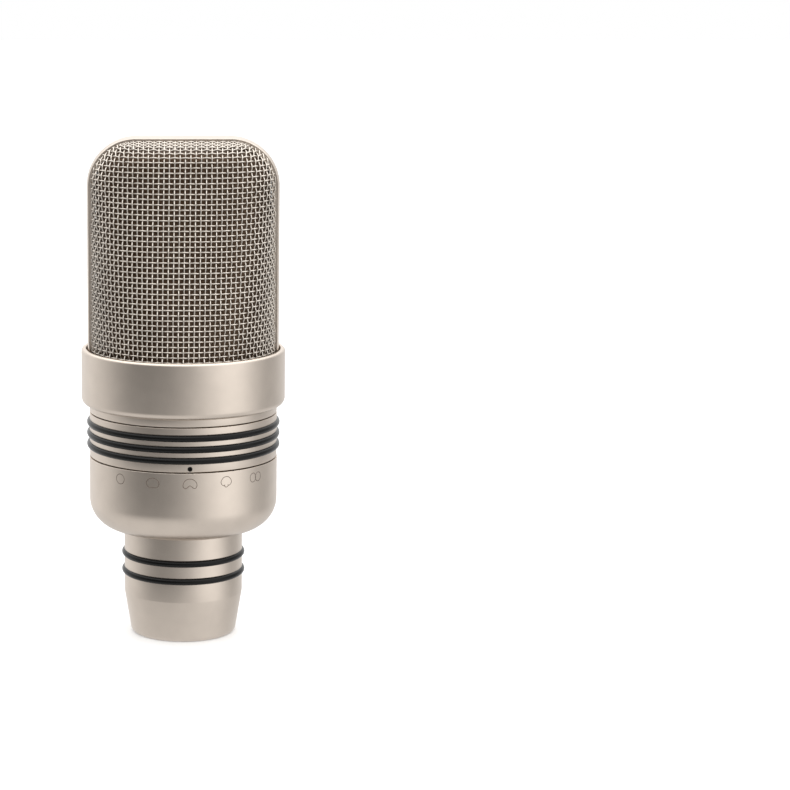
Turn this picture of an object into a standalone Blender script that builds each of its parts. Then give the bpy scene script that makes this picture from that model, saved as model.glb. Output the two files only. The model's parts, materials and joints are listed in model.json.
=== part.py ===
"""Large-diaphragm studio microphone with a pattern selector ring.

The microphone stands on its tail, with its axis along +Z and its front facing
-Y. The origin is the centre of the tail's end face. Lengths are in metres.
"""

import math
from typing import NamedTuple

import bmesh
import bpy
from mathutils import Vector

MM = 0.001

# Driving heights, from the tail upwards
STEM_LENGTH = 27.9 * MM
BODY_HEIGHT = 18.5 * MM
SELECTOR_HEIGHT = 11.4 * MM
NECK_HEIGHT = 2.0 * MM
COLLAR_HEIGHT = 14.4 * MM
HEAD_HEIGHT = 53.4 * MM

# Driving radii
STEM_RADIUS = 15.2 * MM
TAIL_RADIUS = 13.55 * MM
BODY_RADIUS = 24.05 * MM
SELECTOR_RADIUS = 23.95 * MM
COLLAR_RADIUS = 26.0 * MM
FRAME_RADIUS = 24.35 * MM

# Clearances
GAP = 0.3 * MM
RUNNING_GAP = 0.1 * MM
SCREW_GAP = 0.2 * MM

# Roundness: sides of the large turned pieces, of middle and small ones, and steps of a fillet
LARGE_SIDES = 40
CAPSULE_SIDES = 32
MIDDLE_SIDES = 24
SMALL_SIDES = 12
BALL_SIDES = 10
O_RING_SIDES = 8
SLOT_STEPS = 14
FILLET_STEPS = 4
SMALL_FILLET_STEPS = 3
BODY_FILLET_STEPS = 7
BALL_STEPS = 6
CORNER_STEPS = 8
SHARP_ANGLE = math.radians(30.0)
MERGE_DISTANCE = 0.002 * MM

# Tail and stem
TAIL_EDGE = 1.2 * MM
CONE_HEIGHT = 10.8 * MM
SOCKET_RADIUS = 9.5 * MM
SOCKET_DEPTH = 15.0 * MM
SOCKET_CHAMFER = 0.6 * MM
SPIGOT_WALL = 2.8 * MM
SPIGOT_RADIUS = 13.7 * MM
STEM_RING_SECTION = 1.8 * MM
STEM_RING_PROUD = 0.65 * MM
STEM_RING_HEIGHTS = (16.3 * MM, 20.9 * MM)

# Connector insert, pins and retaining ring
INSERT_THICKNESS = 8.0 * MM
INSERT_FIT = 0.3 * MM
PIN_RADIUS = 1.18 * MM
PIN_CIRCLE = 4.75 * MM
PIN_RECESS = 4.5 * MM
PIN_TAIL = 3.5 * MM
RETAINER_HEIGHT = 2.5 * MM
RETAINER_WIDTH = 2.8 * MM

# Lower body
BODY_FILLET = 8.0 * MM
BODY_FLOOR = 2.5 * MM
BODY_RIM_LAND = 1.75 * MM
BODY_LEDGE = 1.4 * MM
BODY_INNER_FILLET = 3.0 * MM

# Bearing sleeve that the selector turns on
SLEEVE_CLEARANCE_WALL = 2.45 * MM
SLEEVE_WALL = 3.0 * MM
SLEEVE_STEP = 0.8 * MM
FLANGE_HEIGHT = 5.85 * MM

# Selector ring, grips and index
GRIP_COUNT = 3
GRIP_FIRST = 3.0 * MM
GRIP_PITCH = 2.85 * MM
GRIP_SECTION = 1.8 * MM
GRIP_PROUD = 0.75 * MM
GROOVE_SIDE_GAP = 0.15 * MM
INDEX_HEIGHT = 1.0 * MM
INDEX_ANGLE = math.radians(4.0)
INDEX_RADIUS = 0.5 * MM
INDEX_HOLE_GAP = 0.12 * MM
INDEX_RECESS = 0.6 * MM
SELECTOR_STEP = math.radians(22.5)
SELECTOR_STEPS_EACH_WAY = 2

# Pattern switch inside the sleeve
ROTOR_HEIGHT = 2.2 * MM
ROTOR_WIDTH = 2.9 * MM
SWITCH_BOARD_THICKNESS = 1.0 * MM
SWITCH_BOARD_LIFT = 0.8 * MM
WIPER_LENGTH = 3.0 * MM
WIPER_WIDTH = 1.4 * MM
WIPER_THICKNESS = 0.25 * MM

# Detent
BALL_RADIUS = 0.7 * MM
BALL_PROUD = 0.35 * MM
BALL_WELL_DEPTH = 2.5 * MM
DETENT_TRACK_DEPTH = 0.55 * MM
DETENT_POCKET_DEPTH = 0.4 * MM
SPRING_WIRE = 0.12 * MM
SPRING_TURNS = 3
SPRING_SIDES = 5
SPRING_STEPS = 10

# Neck ring
NECK_WEB = 1.5 * MM
NECK_SEAT_INSET = 0.4 * MM
NECK_SCREW_INSET = 2.7 * MM
NECK_SCREW_LAND = 2.9 * MM
NECK_SCREW_COUNT = 3
SCREW_RADIUS = 0.9 * MM
SCREW_HEAD_RADIUS = 1.6 * MM
SCREW_HEAD_HEIGHT = 0.9 * MM
SCREW_HEAD_WALL = 0.54 * MM
SCREW_HEAD_TAPER = 0.35 * MM
SCREW_BITE = 2.0 * MM

# Chassis frame
CHASSIS_RING_HEIGHT = 3.5 * MM
CHASSIS_WEB = 1.8 * MM
CHASSIS_BASE_SHARE = 0.47
CHASSIS_WEB_LIP = 1.9 * MM
CHASSIS_TOP_HEIGHT = 3.0 * MM
RAIL_WIDTH = 2.6 * MM
RAIL_OVERHANG = 0.4 * MM
RAIL_HALF_DEPTH = 2.6 * MM

# Circuit boards
BOARD_THICKNESS = 1.6 * MM
BOARD_SIDE_ROOM = 3.3 * MM
BOARD_MARGIN = 1.0 * MM
BOARD_SCREW_SIDE = 1.4 * MM
BOARD_SCREW_INSET = 2.5 * MM
BOARD_SCREW_RADIUS = 0.7 * MM
BOARD_SCREW_HEAD = 1.3 * MM
BOARD_SCREW_BITE = 1.2 * MM


class Component(NamedTuple):
    """A round component lying across a board.

    The side is -1 for the front board and 1 for the rear one. Its middle,
    radius and length are shares of the board's half width, its level is a
    share of the board's height.
    """

    name: str
    side: int
    middle: float
    level: float
    radius: float
    length: float
    finish: str


# Components on the boards
COMPONENTS = (
    Component("coupling_capacitor", -1, -0.37, 0.66, 0.19, 0.59, "component"),
    Component("output_capacitor", -1, 0.33, 0.66, 0.16, 0.52, "black_plastic"),
    Component("bias_resistor", -1, 0.0, 0.24, 0.08, 0.66, "component"),
    Component("filter_capacitor", 1, -0.33, 0.66, 0.21, 0.55, "black_plastic"),
    Component("converter_coil", 1, 0.33, 0.30, 0.19, 0.37, "component"),
)
TRANSISTOR_SHARE = 0.147
TRANSISTOR_DEPTH = 3.0 * MM
TRANSISTOR_MIDDLE = -0.62
TRANSISTOR_LEVEL = 0.30

# Collar
COLLAR_LOWER_FILLET = 1.6 * MM
COLLAR_UPPER_FILLET = 0.8 * MM
COLLAR_WALL = 1.25 * MM
COLLAR_INNER_EDGE = 0.2 * MM
COLLAR_LIP_HEIGHT = 1.8 * MM

# Head frame
FRAME_CORNER = 12.0 * MM
FRAME_THICKNESS = 1.95 * MM
FRAME_HALF_DEPTH = 4.85 * MM
FRAME_RING_HEIGHT = 3.7 * MM

# Grilles and gauzes
GRILLE_THICKNESS = 1.0 * MM
GRILLE_EDGE = 0.75 * MM
GRILLE_SKIRT = 6.2 * MM
GRILLE_COLLAR_GAP = 0.75 * MM
GRILLE_LEAN = math.radians(11.5)
GRILLE_CROWN_ANGLE = math.radians(80.0)
GRILLE_BROW_RADIUS = 5.0 * MM
GRILLE_BROW_STEPS = 6
GRILLE_LEAN_STEPS = 5
GRILLE_SQUARING = 26.0 * MM
GRILLE_COLUMNS = 14
GAUZE_THICKNESS = 0.3 * MM
GAUZE_COLUMNS = 10

# Capsule and its mounting
BASE_PLATE_THICKNESS = 2.0 * MM
ISOLATOR_RADIUS = 6.5 * MM
ISOLATOR_HEIGHT = 4.0 * MM
CAPSULE_RADIUS = 17.0 * MM
CAPSULE_RISE = 34.0 * MM
BACKPLATE_THICKNESS = 6.0 * MM
DIAPHRAGM_THICKNESS = 0.3 * MM
CLAMP_RING_THICKNESS = 1.7 * MM
CLAMP_RING_WIDTH = 3.7 * MM
POST_HALF_WIDTH = 3.0 * MM
POST_HALF_DEPTH = 3.0 * MM
SADDLE_HALF_WIDTH = 7.5 * MM
SADDLE_STEPS = 6
CONTACT_RADIUS = 1.2 * MM
CONTACT_HEIGHT = 1.2 * MM

# Heights that follow from the driving ones
BODY_BOTTOM = STEM_LENGTH
SELECTOR_BOTTOM = BODY_BOTTOM + BODY_HEIGHT
NECK_BOTTOM = SELECTOR_BOTTOM + SELECTOR_HEIGHT
COLLAR_BOTTOM = NECK_BOTTOM + NECK_HEIGHT
COLLAR_TOP = COLLAR_BOTTOM + COLLAR_HEIGHT
HEAD_TOP = COLLAR_TOP + HEAD_HEIGHT
HALF_GAP = GAP / 2
BODY_FLOOR_TOP = BODY_BOTTOM + BODY_FLOOR
CHASSIS_BOTTOM = BODY_FLOOR_TOP + GAP
CHASSIS_WEB_TOP = CHASSIS_BOTTOM + CHASSIS_RING_HEIGHT + CHASSIS_WEB
SLEEVE_BOTTOM = SELECTOR_BOTTOM - HALF_GAP - FLANGE_HEIGHT
SLEEVE_TOP = COLLAR_BOTTOM
NECK_WEB_BOTTOM = SLEEVE_TOP + GAP
NECK_TOP = NECK_WEB_BOTTOM + NECK_WEB
CHASSIS_TOP = SLEEVE_TOP
FRAME_BOTTOM = NECK_TOP + GAP
GRILLE_BOTTOM = FRAME_BOTTOM + FRAME_RING_HEIGHT + GAP
INDEX_Z = SELECTOR_BOTTOM + INDEX_HEIGHT
ROTOR_BOTTOM = INDEX_Z - ROTOR_HEIGHT / 2
SWITCH_BOARD_BOTTOM = ROTOR_BOTTOM + ROTOR_HEIGHT + SWITCH_BOARD_LIFT
BASE_PLATE_TOP = FRAME_BOTTOM + BASE_PLATE_THICKNESS
ISOLATOR_BOTTOM = BASE_PLATE_TOP + GAP
POST_BOTTOM = ISOLATOR_BOTTOM + ISOLATOR_HEIGHT + GAP
CAPSULE_CENTRE = BASE_PLATE_TOP + CAPSULE_RISE

# Radii that follow from the driving ones
BODY_TOP_BORE = SELECTOR_RADIUS - BODY_RIM_LAND
BODY_LOWER_BORE = BODY_TOP_BORE - BODY_LEDGE
SELECTOR_BORE = SELECTOR_RADIUS - SLEEVE_CLEARANCE_WALL
SLEEVE_RADIUS = SELECTOR_BORE - RUNNING_GAP
SLEEVE_BORE = SLEEVE_RADIUS - SLEEVE_WALL
SLEEVE_UPPER_BORE = SLEEVE_BORE - SLEEVE_STEP
STEM_BORE = SPIGOT_RADIUS - SPIGOT_WALL
NUT_BORE = SPIGOT_RADIUS + GAP
CHASSIS_BASE_RADIUS = NUT_BORE + (BODY_LOWER_BORE - NUT_BORE) * CHASSIS_BASE_SHARE
BOARD_FACE = RAIL_HALF_DEPTH + GAP + BOARD_THICKNESS
BOARD_HALF_WIDTH = math.sqrt((SLEEVE_UPPER_BORE - BOARD_SIDE_ROOM) ** 2 - BOARD_FACE**2)
BOARD_SCREW_X = BOARD_HALF_WIDTH - BOARD_SCREW_SIDE
RAIL_OUTER = BOARD_HALF_WIDTH + RAIL_OVERHANG
RAIL_INNER = RAIL_OUTER - RAIL_WIDTH
CHASSIS_BORE = RAIL_INNER - CHASSIS_WEB_LIP
NECK_SCREW_CIRCLE = SLEEVE_UPPER_BORE - NECK_SCREW_INSET
NECK_BORE = NECK_SCREW_CIRCLE - NECK_SCREW_LAND
NECK_SEAT_RADIUS = FRAME_RADIUS - NECK_SEAT_INSET
ROTOR_RADIUS = SLEEVE_BORE - GAP
COLLAR_BORE = COLLAR_RADIUS - COLLAR_WALL
GRILLE_DEPTH = COLLAR_BORE - GRILLE_COLLAR_GAP
GRILLE_HALF_WIDTH = FRAME_RADIUS - GRILLE_EDGE
GRILLE_PLANE = FRAME_HALF_DEPTH + GAP
FRAME_BORE = FRAME_RADIUS - FRAME_THICKNESS

FRONT = -math.pi / 2


def clear_scene():
    """Remove every object that the new scene starts with."""
    for thing in list(bpy.data.objects):
        bpy.data.objects.remove(thing)


def make_material(name, colour, roughness, metallic):
    """Return a Principled material with one colour."""
    material = bpy.data.materials.new(name)
    material.use_nodes = True
    shader = material.node_tree.nodes["Principled BSDF"]
    shader.inputs["Base Color"].default_value = (*colour, 1.0)
    shader.inputs["Roughness"].default_value = roughness
    shader.inputs["Metallic"].default_value = metallic
    material.diffuse_color = (*colour, 1.0)
    return material


def make_materials():
    """Return the microphone's materials by name."""
    return {
        "satin_nickel": make_material("satin_nickel", (0.62, 0.57, 0.50), 0.38, 1.0),
        "grille_wire": make_material("grille_wire", (0.60, 0.55, 0.48), 0.35, 1.0),
        "rubber": make_material("rubber", (0.02, 0.02, 0.02), 0.55, 0.0),
        "black_plastic": make_material("black_plastic", (0.03, 0.03, 0.03), 0.45, 0.0),
        "black_steel": make_material("black_steel", (0.04, 0.04, 0.04), 0.4, 1.0),
        "steel": make_material("steel", (0.55, 0.55, 0.56), 0.3, 1.0),
        "brass": make_material("brass", (0.72, 0.55, 0.25), 0.3, 1.0),
        "gold": make_material("gold", (0.85, 0.65, 0.25), 0.2, 1.0),
        "aluminium": make_material("aluminium", (0.7, 0.7, 0.72), 0.4, 1.0),
        "circuit_board": make_material("circuit_board", (0.03, 0.18, 0.08), 0.5, 0.0),
        "component": make_material("component", (0.55, 0.12, 0.04), 0.5, 0.0),
    }


def add_object(name, bm, material, height=0.0, parent=None):
    """Turn a bmesh into a named object at a height on the axis."""
    bmesh.ops.remove_doubles(bm, verts=bm.verts, dist=MERGE_DISTANCE)
    bmesh.ops.recalc_face_normals(bm, faces=bm.faces)
    if bm.calc_volume(signed=True) < 0.0:
        bmesh.ops.reverse_faces(bm, faces=bm.faces)
    mesh = bpy.data.meshes.new(name)
    bm.to_mesh(mesh)
    bm.free()
    mesh.shade_smooth()
    mesh.set_sharp_from_angle(angle=SHARP_ANGLE)
    thing = bpy.data.objects.new(name, mesh)
    bpy.context.collection.objects.link(thing)
    if material is not None:
        mesh.materials.append(material)
    thing.location.z = height
    if parent is not None:
        thing.parent = parent
        thing.location.z = height - parent.location.z
    return thing


def arc(centre, radius, start, end, steps=FILLET_STEPS):
    """Return points on an arc in a profile, both ends included."""
    points = []
    for step in range(steps + 1):
        angle = start + (end - start) * step / steps
        points.append((centre[0] + radius * math.cos(angle), centre[1] + radius * math.sin(angle)))
    return points


def turned(name, profile, material, height=0.0, sides=LARGE_SIDES, parent=None):
    """Make a turned piece by spinning a closed (radius, height) outline."""
    bm = bmesh.new()
    verts = [bm.verts.new((radius, 0.0, z)) for radius, z in profile]
    edges = []
    for index, vert in enumerate(verts):
        follower = verts[(index + 1) % len(verts)]
        on_axis = max(vert.co.x, follower.co.x) < 0.001 * MM
        if not on_axis:
            edges.append(bm.edges.new((vert, follower)))
    bmesh.ops.spin(
        bm,
        geom=verts + edges,
        cent=(0.0, 0.0, 0.0),
        axis=(0.0, 0.0, 1.0),
        angle=2 * math.pi,
        steps=sides,
        use_merge=True,
    )
    return add_object(name, bm, material, height, parent)


def ring_profile(inner, outer, bottom, top):
    """Return a rectangular outline."""
    return [(inner, bottom), (outer, bottom), (outer, top), (inner, top)]


def turned_along(name, profile, material, origin, direction, sides=SMALL_SIDES, parent=None):
    """Make a turned piece whose axis runs along a direction from an origin."""
    thing = turned(name, profile, material, sides=sides)
    turn = Vector((0.0, 0.0, 1.0)).rotation_difference(Vector(direction)).to_matrix().to_4x4()
    thing.data.transform(turn)
    thing.location = Vector(origin)
    if parent is not None:
        thing.parent = parent
        thing.location -= parent.location
    return thing


def box(name, low, high, material, parent=None):
    """Make a box between two corners."""
    bm = bmesh.new()
    bmesh.ops.create_cube(bm, size=1.0)
    size = Vector(high) - Vector(low)
    middle = (Vector(high) + Vector(low)) / 2
    bmesh.ops.scale(bm, vec=size, verts=bm.verts)
    thing = add_object(name, bm, material)
    thing.location = middle
    if parent is not None:
        thing.parent = parent
        thing.location -= parent.location
    return thing


def prism(name, outline, half_depth, material, height=0.0):
    """Make a prism along Y from a closed (x, z) outline."""
    bm = bmesh.new()
    verts = [bm.verts.new((x, -half_depth, z)) for x, z in outline]
    face = bm.faces.new(verts)
    extruded = bmesh.ops.extrude_face_region(bm, geom=[face])["geom"]
    moved = [item for item in extruded if isinstance(item, bmesh.types.BMVert)]
    bmesh.ops.translate(bm, vec=(0.0, 2 * half_depth, 0.0), verts=moved)
    return add_object(name, bm, material, height)


def polar(radius, angle, z=0.0):
    """Return the point at a radius and an angle from +X."""
    return (radius * math.cos(angle), radius * math.sin(angle), z)


def hide(tool):
    """Mark an object as a tool that shapes others."""
    tool.hide_render = True
    tool.display_type = "WIRE"


def combine(target, tool, operation):
    """Cut, join or intersect an object with a tool."""
    hide(tool)
    modifier = target.modifiers.new(tool.name, "BOOLEAN")
    modifier.object = tool
    modifier.operation = operation
    modifier.solver = "EXACT"


def drill(target, origin, direction, radius, length, name):
    """Cut a round hole from an origin along a direction."""
    tool = turned_along(name, [(0, 0), (radius, 0), (radius, length), (0, length)], None, origin, direction)
    combine(target, tool, "DIFFERENCE")


def o_ring(name, centre_radius, section, material, z, parent=None):
    """Make a rubber ring of round section."""
    profile = arc((centre_radius, 0.0), section / 2, 0.0, 2 * math.pi, O_RING_SIDES)[:-1]
    return turned(name, profile, material, z, parent=parent)


def groove(radius, floor, z, width):
    """Return the outline points of a groove, from its lower to its upper edge."""
    return [
        (radius, z - width / 2),
        (floor, z - width / 2),
        (floor, z + width / 2),
        (radius, z + width / 2),
    ]


def stem_ring_centre():
    """Return the radius of the stem rings' section centre."""
    return STEM_RADIUS + STEM_RING_PROUD - STEM_RING_SECTION / 2


def make_stem(materials):
    """Make the tail tube with its cone, ring grooves, socket and spigot."""
    shoulder = BODY_BOTTOM - GAP
    spigot_top = CHASSIS_BOTTOM + CHASSIS_RING_HEIGHT - GAP
    floor = stem_ring_centre() - STEM_RING_SECTION / 2 - GAP
    width = STEM_RING_SECTION + 2 * GROOVE_SIDE_GAP
    profile = [(SOCKET_RADIUS + SOCKET_CHAMFER, 0.0)]
    profile += arc((TAIL_RADIUS - TAIL_EDGE, TAIL_EDGE), TAIL_EDGE, FRONT, 0.0, SMALL_FILLET_STEPS)
    profile.append((STEM_RADIUS, CONE_HEIGHT))
    for z in STEM_RING_HEIGHTS:
        profile += groove(STEM_RADIUS, floor, z, width)
    profile += [
        (STEM_RADIUS, shoulder),
        (SPIGOT_RADIUS, shoulder),
        (SPIGOT_RADIUS, spigot_top),
        (STEM_BORE, spigot_top),
        (STEM_BORE, SOCKET_DEPTH),
        (SOCKET_RADIUS, SOCKET_DEPTH),
        (SOCKET_RADIUS, SOCKET_CHAMFER),
    ]
    turned("stem", profile, materials["satin_nickel"])


def make_stem_rings(materials):
    """Make the two rubber rings of the stem."""
    for name, z in zip(("stem_ring_lower", "stem_ring_upper"), STEM_RING_HEIGHTS):
        o_ring(name, stem_ring_centre(), STEM_RING_SECTION, materials["rubber"], z)


def make_connector(materials):
    """Make the connector insert, its three pins and the ring that holds it."""
    bottom = SOCKET_DEPTH + GAP
    radius = STEM_BORE - INSERT_FIT
    insert = turned(
        "connector_insert",
        [(0.0, 0.0), (radius, 0.0), (radius, INSERT_THICKNESS), (0.0, INSERT_THICKNESS)],
        materials["black_plastic"],
        bottom,
        MIDDLE_SIDES,
    )
    pin_top = bottom + INSERT_THICKNESS + PIN_TAIL
    tip = PIN_RADIUS / 2
    for index in range(3):
        angle = FRONT + index * 2 * math.pi / 3
        x, y, _ = polar(PIN_CIRCLE, angle)
        profile = [
            (0.0, 0.0),
            (tip, 0.0),
            (PIN_RADIUS, tip),
            (PIN_RADIUS, pin_top - PIN_RECESS),
            (0.0, pin_top - PIN_RECESS),
        ]
        turned_along(
            f"connector_pin_{index + 1}", profile, materials["gold"], (x, y, PIN_RECESS), (0, 0, 1)
        )
        drill(
            insert,
            (x, y, bottom - GAP),
            (0, 0, 1),
            PIN_RADIUS + SCREW_GAP,
            INSERT_THICKNESS + 2 * GAP,
            f"pin_hole_{index + 1}",
        )
    turned(
        "connector_retainer",
        ring_profile(radius - RETAINER_WIDTH, radius, 0.0, RETAINER_HEIGHT),
        materials["brass"],
        bottom + INSERT_THICKNESS + GAP,
        MIDDLE_SIDES,
    )


def make_lower_body(materials):
    """Make the cup that covers the electronics under the selector."""
    top = BODY_HEIGHT - HALF_GAP
    ledge = SLEEVE_BOTTOM - GAP - BODY_BOTTOM
    fillet = min(BODY_FILLET, top, BODY_RADIUS - STEM_RADIUS)
    inner_fillet = min(BODY_INNER_FILLET, ledge - BODY_FLOOR - GAP, BODY_LOWER_BORE - CHASSIS_BASE_RADIUS)
    profile = [(NUT_BORE, 0.0)]
    profile += arc((BODY_RADIUS - fillet, fillet), fillet, FRONT, 0.0, BODY_FILLET_STEPS)
    profile += [
        (BODY_RADIUS, top),
        (BODY_TOP_BORE, top),
        (BODY_TOP_BORE, ledge),
        (BODY_LOWER_BORE, ledge),
    ]
    centre = (BODY_LOWER_BORE - inner_fillet, BODY_FLOOR + inner_fillet)
    profile += arc(centre, inner_fillet, 0.0, FRONT, SMALL_FILLET_STEPS)
    profile.append((NUT_BORE, BODY_FLOOR))
    turned("lower_body", profile, materials["satin_nickel"], BODY_BOTTOM)


def make_chassis(materials):
    """Make the inner frame: a base nut on the spigot, two rails and a top ring."""
    base_top = CHASSIS_RING_HEIGHT + CHASSIS_WEB
    web_bottom = CHASSIS_RING_HEIGHT
    chassis = turned(
        "chassis_frame",
        [
            (NUT_BORE, 0.0),
            (CHASSIS_BASE_RADIUS, 0.0),
            (CHASSIS_BASE_RADIUS, base_top),
            (CHASSIS_BORE, base_top),
            (CHASSIS_BORE, web_bottom),
            (NUT_BORE, web_bottom),
        ],
        materials["aluminium"],
        CHASSIS_BOTTOM,
    )
    top_ring = turned(
        "chassis_top_ring",
        ring_profile(RAIL_INNER, SLEEVE_UPPER_BORE - GAP, 0.0, CHASSIS_TOP_HEIGHT),
        None,
        CHASSIS_TOP - CHASSIS_TOP_HEIGHT,
    )
    bite = CHASSIS_WEB / 2
    for side, name in ((-1, "rail_left"), (1, "rail_right")):
        xs = sorted((side * RAIL_INNER, side * RAIL_OUTER))
        rail = box(
            name,
            (xs[0], -RAIL_HALF_DEPTH, CHASSIS_WEB_TOP - bite),
            (xs[1], RAIL_HALF_DEPTH, CHASSIS_TOP - bite),
            None,
        )
        combine(chassis, rail, "UNION")
    combine(chassis, top_ring, "UNION")
    return chassis


def make_sleeve(materials):
    """Make the sleeve that the selector ring turns on."""
    board_top = SWITCH_BOARD_BOTTOM + SWITCH_BOARD_THICKNESS + GAP - SLEEVE_BOTTOM
    height = SLEEVE_TOP - SLEEVE_BOTTOM
    flange = BODY_TOP_BORE - GAP
    sleeve = turned(
        "bearing_sleeve",
        [
            (SLEEVE_BORE, 0.0),
            (flange, 0.0),
            (flange, FLANGE_HEIGHT),
            (SLEEVE_RADIUS, FLANGE_HEIGHT),
            (SLEEVE_RADIUS, height),
            (SLEEVE_UPPER_BORE, height),
            (SLEEVE_UPPER_BORE, board_top),
            (SLEEVE_BORE, board_top),
        ],
        materials["brass"],
        SLEEVE_BOTTOM,
    )
    combine(sleeve, make_slot_tool(), "DIFFERENCE")
    drill(
        sleeve,
        polar(SLEEVE_RADIUS - BALL_WELL_DEPTH, detent_angle(), INDEX_Z),
        polar(1.0, detent_angle()),
        BALL_RADIUS + SCREW_GAP,
        BALL_WELL_DEPTH + GAP,
        "ball_well",
    )


def make_slot_tool():
    """Make the cutter of the arc slot that the index screw travels in."""
    half_height = INDEX_RADIUS + GAP
    end_room = math.asin((INDEX_RADIUS + 2 * GAP) / SLEEVE_BORE)
    reach = SELECTOR_STEPS_EACH_WAY * SELECTOR_STEP + end_room
    low_radius = SLEEVE_BORE - GAP
    high_radius = SLEEVE_RADIUS + GAP
    bm = bmesh.new()
    corners = []
    for radius, z in ring_profile(low_radius, high_radius, -half_height, half_height):
        corners.append(bm.verts.new(polar(radius, FRONT + INDEX_ANGLE - reach, z)))
    face = bm.faces.new(corners)
    bmesh.ops.spin(
        bm,
        geom=[face],
        cent=(0.0, 0.0, 0.0),
        axis=(0.0, 0.0, 1.0),
        angle=2 * reach,
        steps=SLOT_STEPS,
    )
    return add_object("index_slot", bm, None, INDEX_Z)


def index_direction():
    """Return the angle of the index screw from +X at rest."""
    return FRONT + INDEX_ANGLE


def detent_angle():
    """Return the angle of the detent ball from +X, opposite the index."""
    return index_direction() + math.pi


def grip_heights():
    """Return the heights of the grip rings above the selector's lower seam."""
    return [GRIP_FIRST + index * GRIP_PITCH for index in range(GRIP_COUNT)]


def grip_centre():
    """Return the radius of the grip rings' section centre."""
    return SELECTOR_RADIUS + GRIP_PROUD - GRIP_SECTION / 2


def make_selector(materials, axis):
    """Make the selector ring with its grooves, index hole and detent pockets."""
    floor = grip_centre() - GRIP_SECTION / 2 - GAP
    width = GRIP_SECTION + 2 * GROOVE_SIDE_GAP
    track = BALL_RADIUS + GROOVE_SIDE_GAP
    track_low = max(INDEX_HEIGHT - track, 2 * HALF_GAP)
    profile = [(SELECTOR_BORE, HALF_GAP), (SELECTOR_RADIUS, HALF_GAP)]
    for z in grip_heights():
        profile += groove(SELECTOR_RADIUS, floor, z, width)
    profile += [
        (SELECTOR_RADIUS, SELECTOR_HEIGHT - HALF_GAP),
        (SELECTOR_BORE, SELECTOR_HEIGHT - HALF_GAP),
        (SELECTOR_BORE, INDEX_HEIGHT + track),
        (SELECTOR_BORE + DETENT_TRACK_DEPTH, INDEX_HEIGHT + track),
        (SELECTOR_BORE + DETENT_TRACK_DEPTH, track_low),
        (SELECTOR_BORE, track_low),
    ]
    ring = turned("selector_ring", profile, materials["satin_nickel"], SELECTOR_BOTTOM, parent=axis)
    drill(
        ring,
        polar(SELECTOR_BORE - GAP, index_direction(), INDEX_Z),
        polar(1.0, index_direction()),
        INDEX_RADIUS + INDEX_HOLE_GAP,
        SELECTOR_RADIUS - SELECTOR_BORE + 2 * GAP,
        "index_hole",
    )
    for step in range(-SELECTOR_STEPS_EACH_WAY, SELECTOR_STEPS_EACH_WAY + 1):
        angle = detent_angle() + step * SELECTOR_STEP
        drill(
            ring,
            polar(SELECTOR_BORE, angle, INDEX_Z),
            polar(1.0, angle),
            BALL_RADIUS - GROOVE_SIDE_GAP,
            DETENT_TRACK_DEPTH + DETENT_POCKET_DEPTH,
            f"detent_pocket_{step + SELECTOR_STEPS_EACH_WAY + 1}",
        )


def make_grips(materials, axis):
    """Make the three rubber grip rings."""
    for name, z in zip(("grip_ring_lower", "grip_ring_middle", "grip_ring_upper"), grip_heights()):
        height = SELECTOR_BOTTOM + z
        o_ring(name, grip_centre(), GRIP_SECTION, materials["rubber"], height, axis)


def make_switch(materials, axis):
    """Make the index screw, the rotor it turns, the wiper and the fixed board."""
    tip = ROTOR_RADIUS - ROTOR_WIDTH + GAP
    length = SELECTOR_RADIUS - INDEX_RECESS - tip
    turned_along(
        "index_screw",
        [(0.0, 0.0), (INDEX_RADIUS, 0.0), (INDEX_RADIUS, length), (0.0, length)],
        materials["black_steel"],
        polar(tip, index_direction(), INDEX_Z),
        polar(1.0, index_direction()),
        parent=axis,
    )
    rotor = turned(
        "switch_rotor",
        ring_profile(ROTOR_RADIUS - ROTOR_WIDTH, ROTOR_RADIUS, 0.0, ROTOR_HEIGHT),
        materials["black_plastic"],
        ROTOR_BOTTOM,
        parent=axis,
    )
    drill(
        rotor,
        polar(tip - 2 * GAP, index_direction(), INDEX_Z),
        polar(1.0, index_direction()),
        INDEX_RADIUS + INDEX_HOLE_GAP,
        ROTOR_WIDTH + 2 * GAP,
        "rotor_hole",
    )
    middle = ROTOR_RADIUS - ROTOR_WIDTH / 2
    wiper_bottom = ROTOR_BOTTOM + ROTOR_HEIGHT + (SWITCH_BOARD_LIFT - WIPER_THICKNESS) / 2
    box(
        "wiper_contact",
        (-WIPER_LENGTH / 2, middle - WIPER_WIDTH / 2, wiper_bottom),
        (WIPER_LENGTH / 2, middle + WIPER_WIDTH / 2, wiper_bottom + WIPER_THICKNESS),
        materials["brass"],
        axis,
    )
    turned(
        "switch_board",
        ring_profile(ROTOR_RADIUS - ROTOR_WIDTH, ROTOR_RADIUS, 0.0, SWITCH_BOARD_THICKNESS),
        materials["circuit_board"],
        SWITCH_BOARD_BOTTOM,
    )


def make_detent(materials):
    """Make the ball and the coil spring that hold the selector at a pattern."""
    direction = polar(1.0, detent_angle())
    ball_centre = SELECTOR_BORE - RUNNING_GAP + BALL_PROUD - BALL_RADIUS
    profile = arc((0.0, 0.0), BALL_RADIUS, FRONT, -FRONT, BALL_STEPS)
    place = polar(ball_centre, detent_angle(), INDEX_Z)
    turned_along("detent_ball", profile, materials["steel"], place, direction, BALL_SIDES)
    spring_start = SLEEVE_RADIUS - BALL_WELL_DEPTH + SCREW_GAP
    coil_length = ball_centre - BALL_RADIUS - SCREW_GAP - spring_start
    turned_spring("detent_spring", spring_start, coil_length, direction, materials["steel"])


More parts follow.
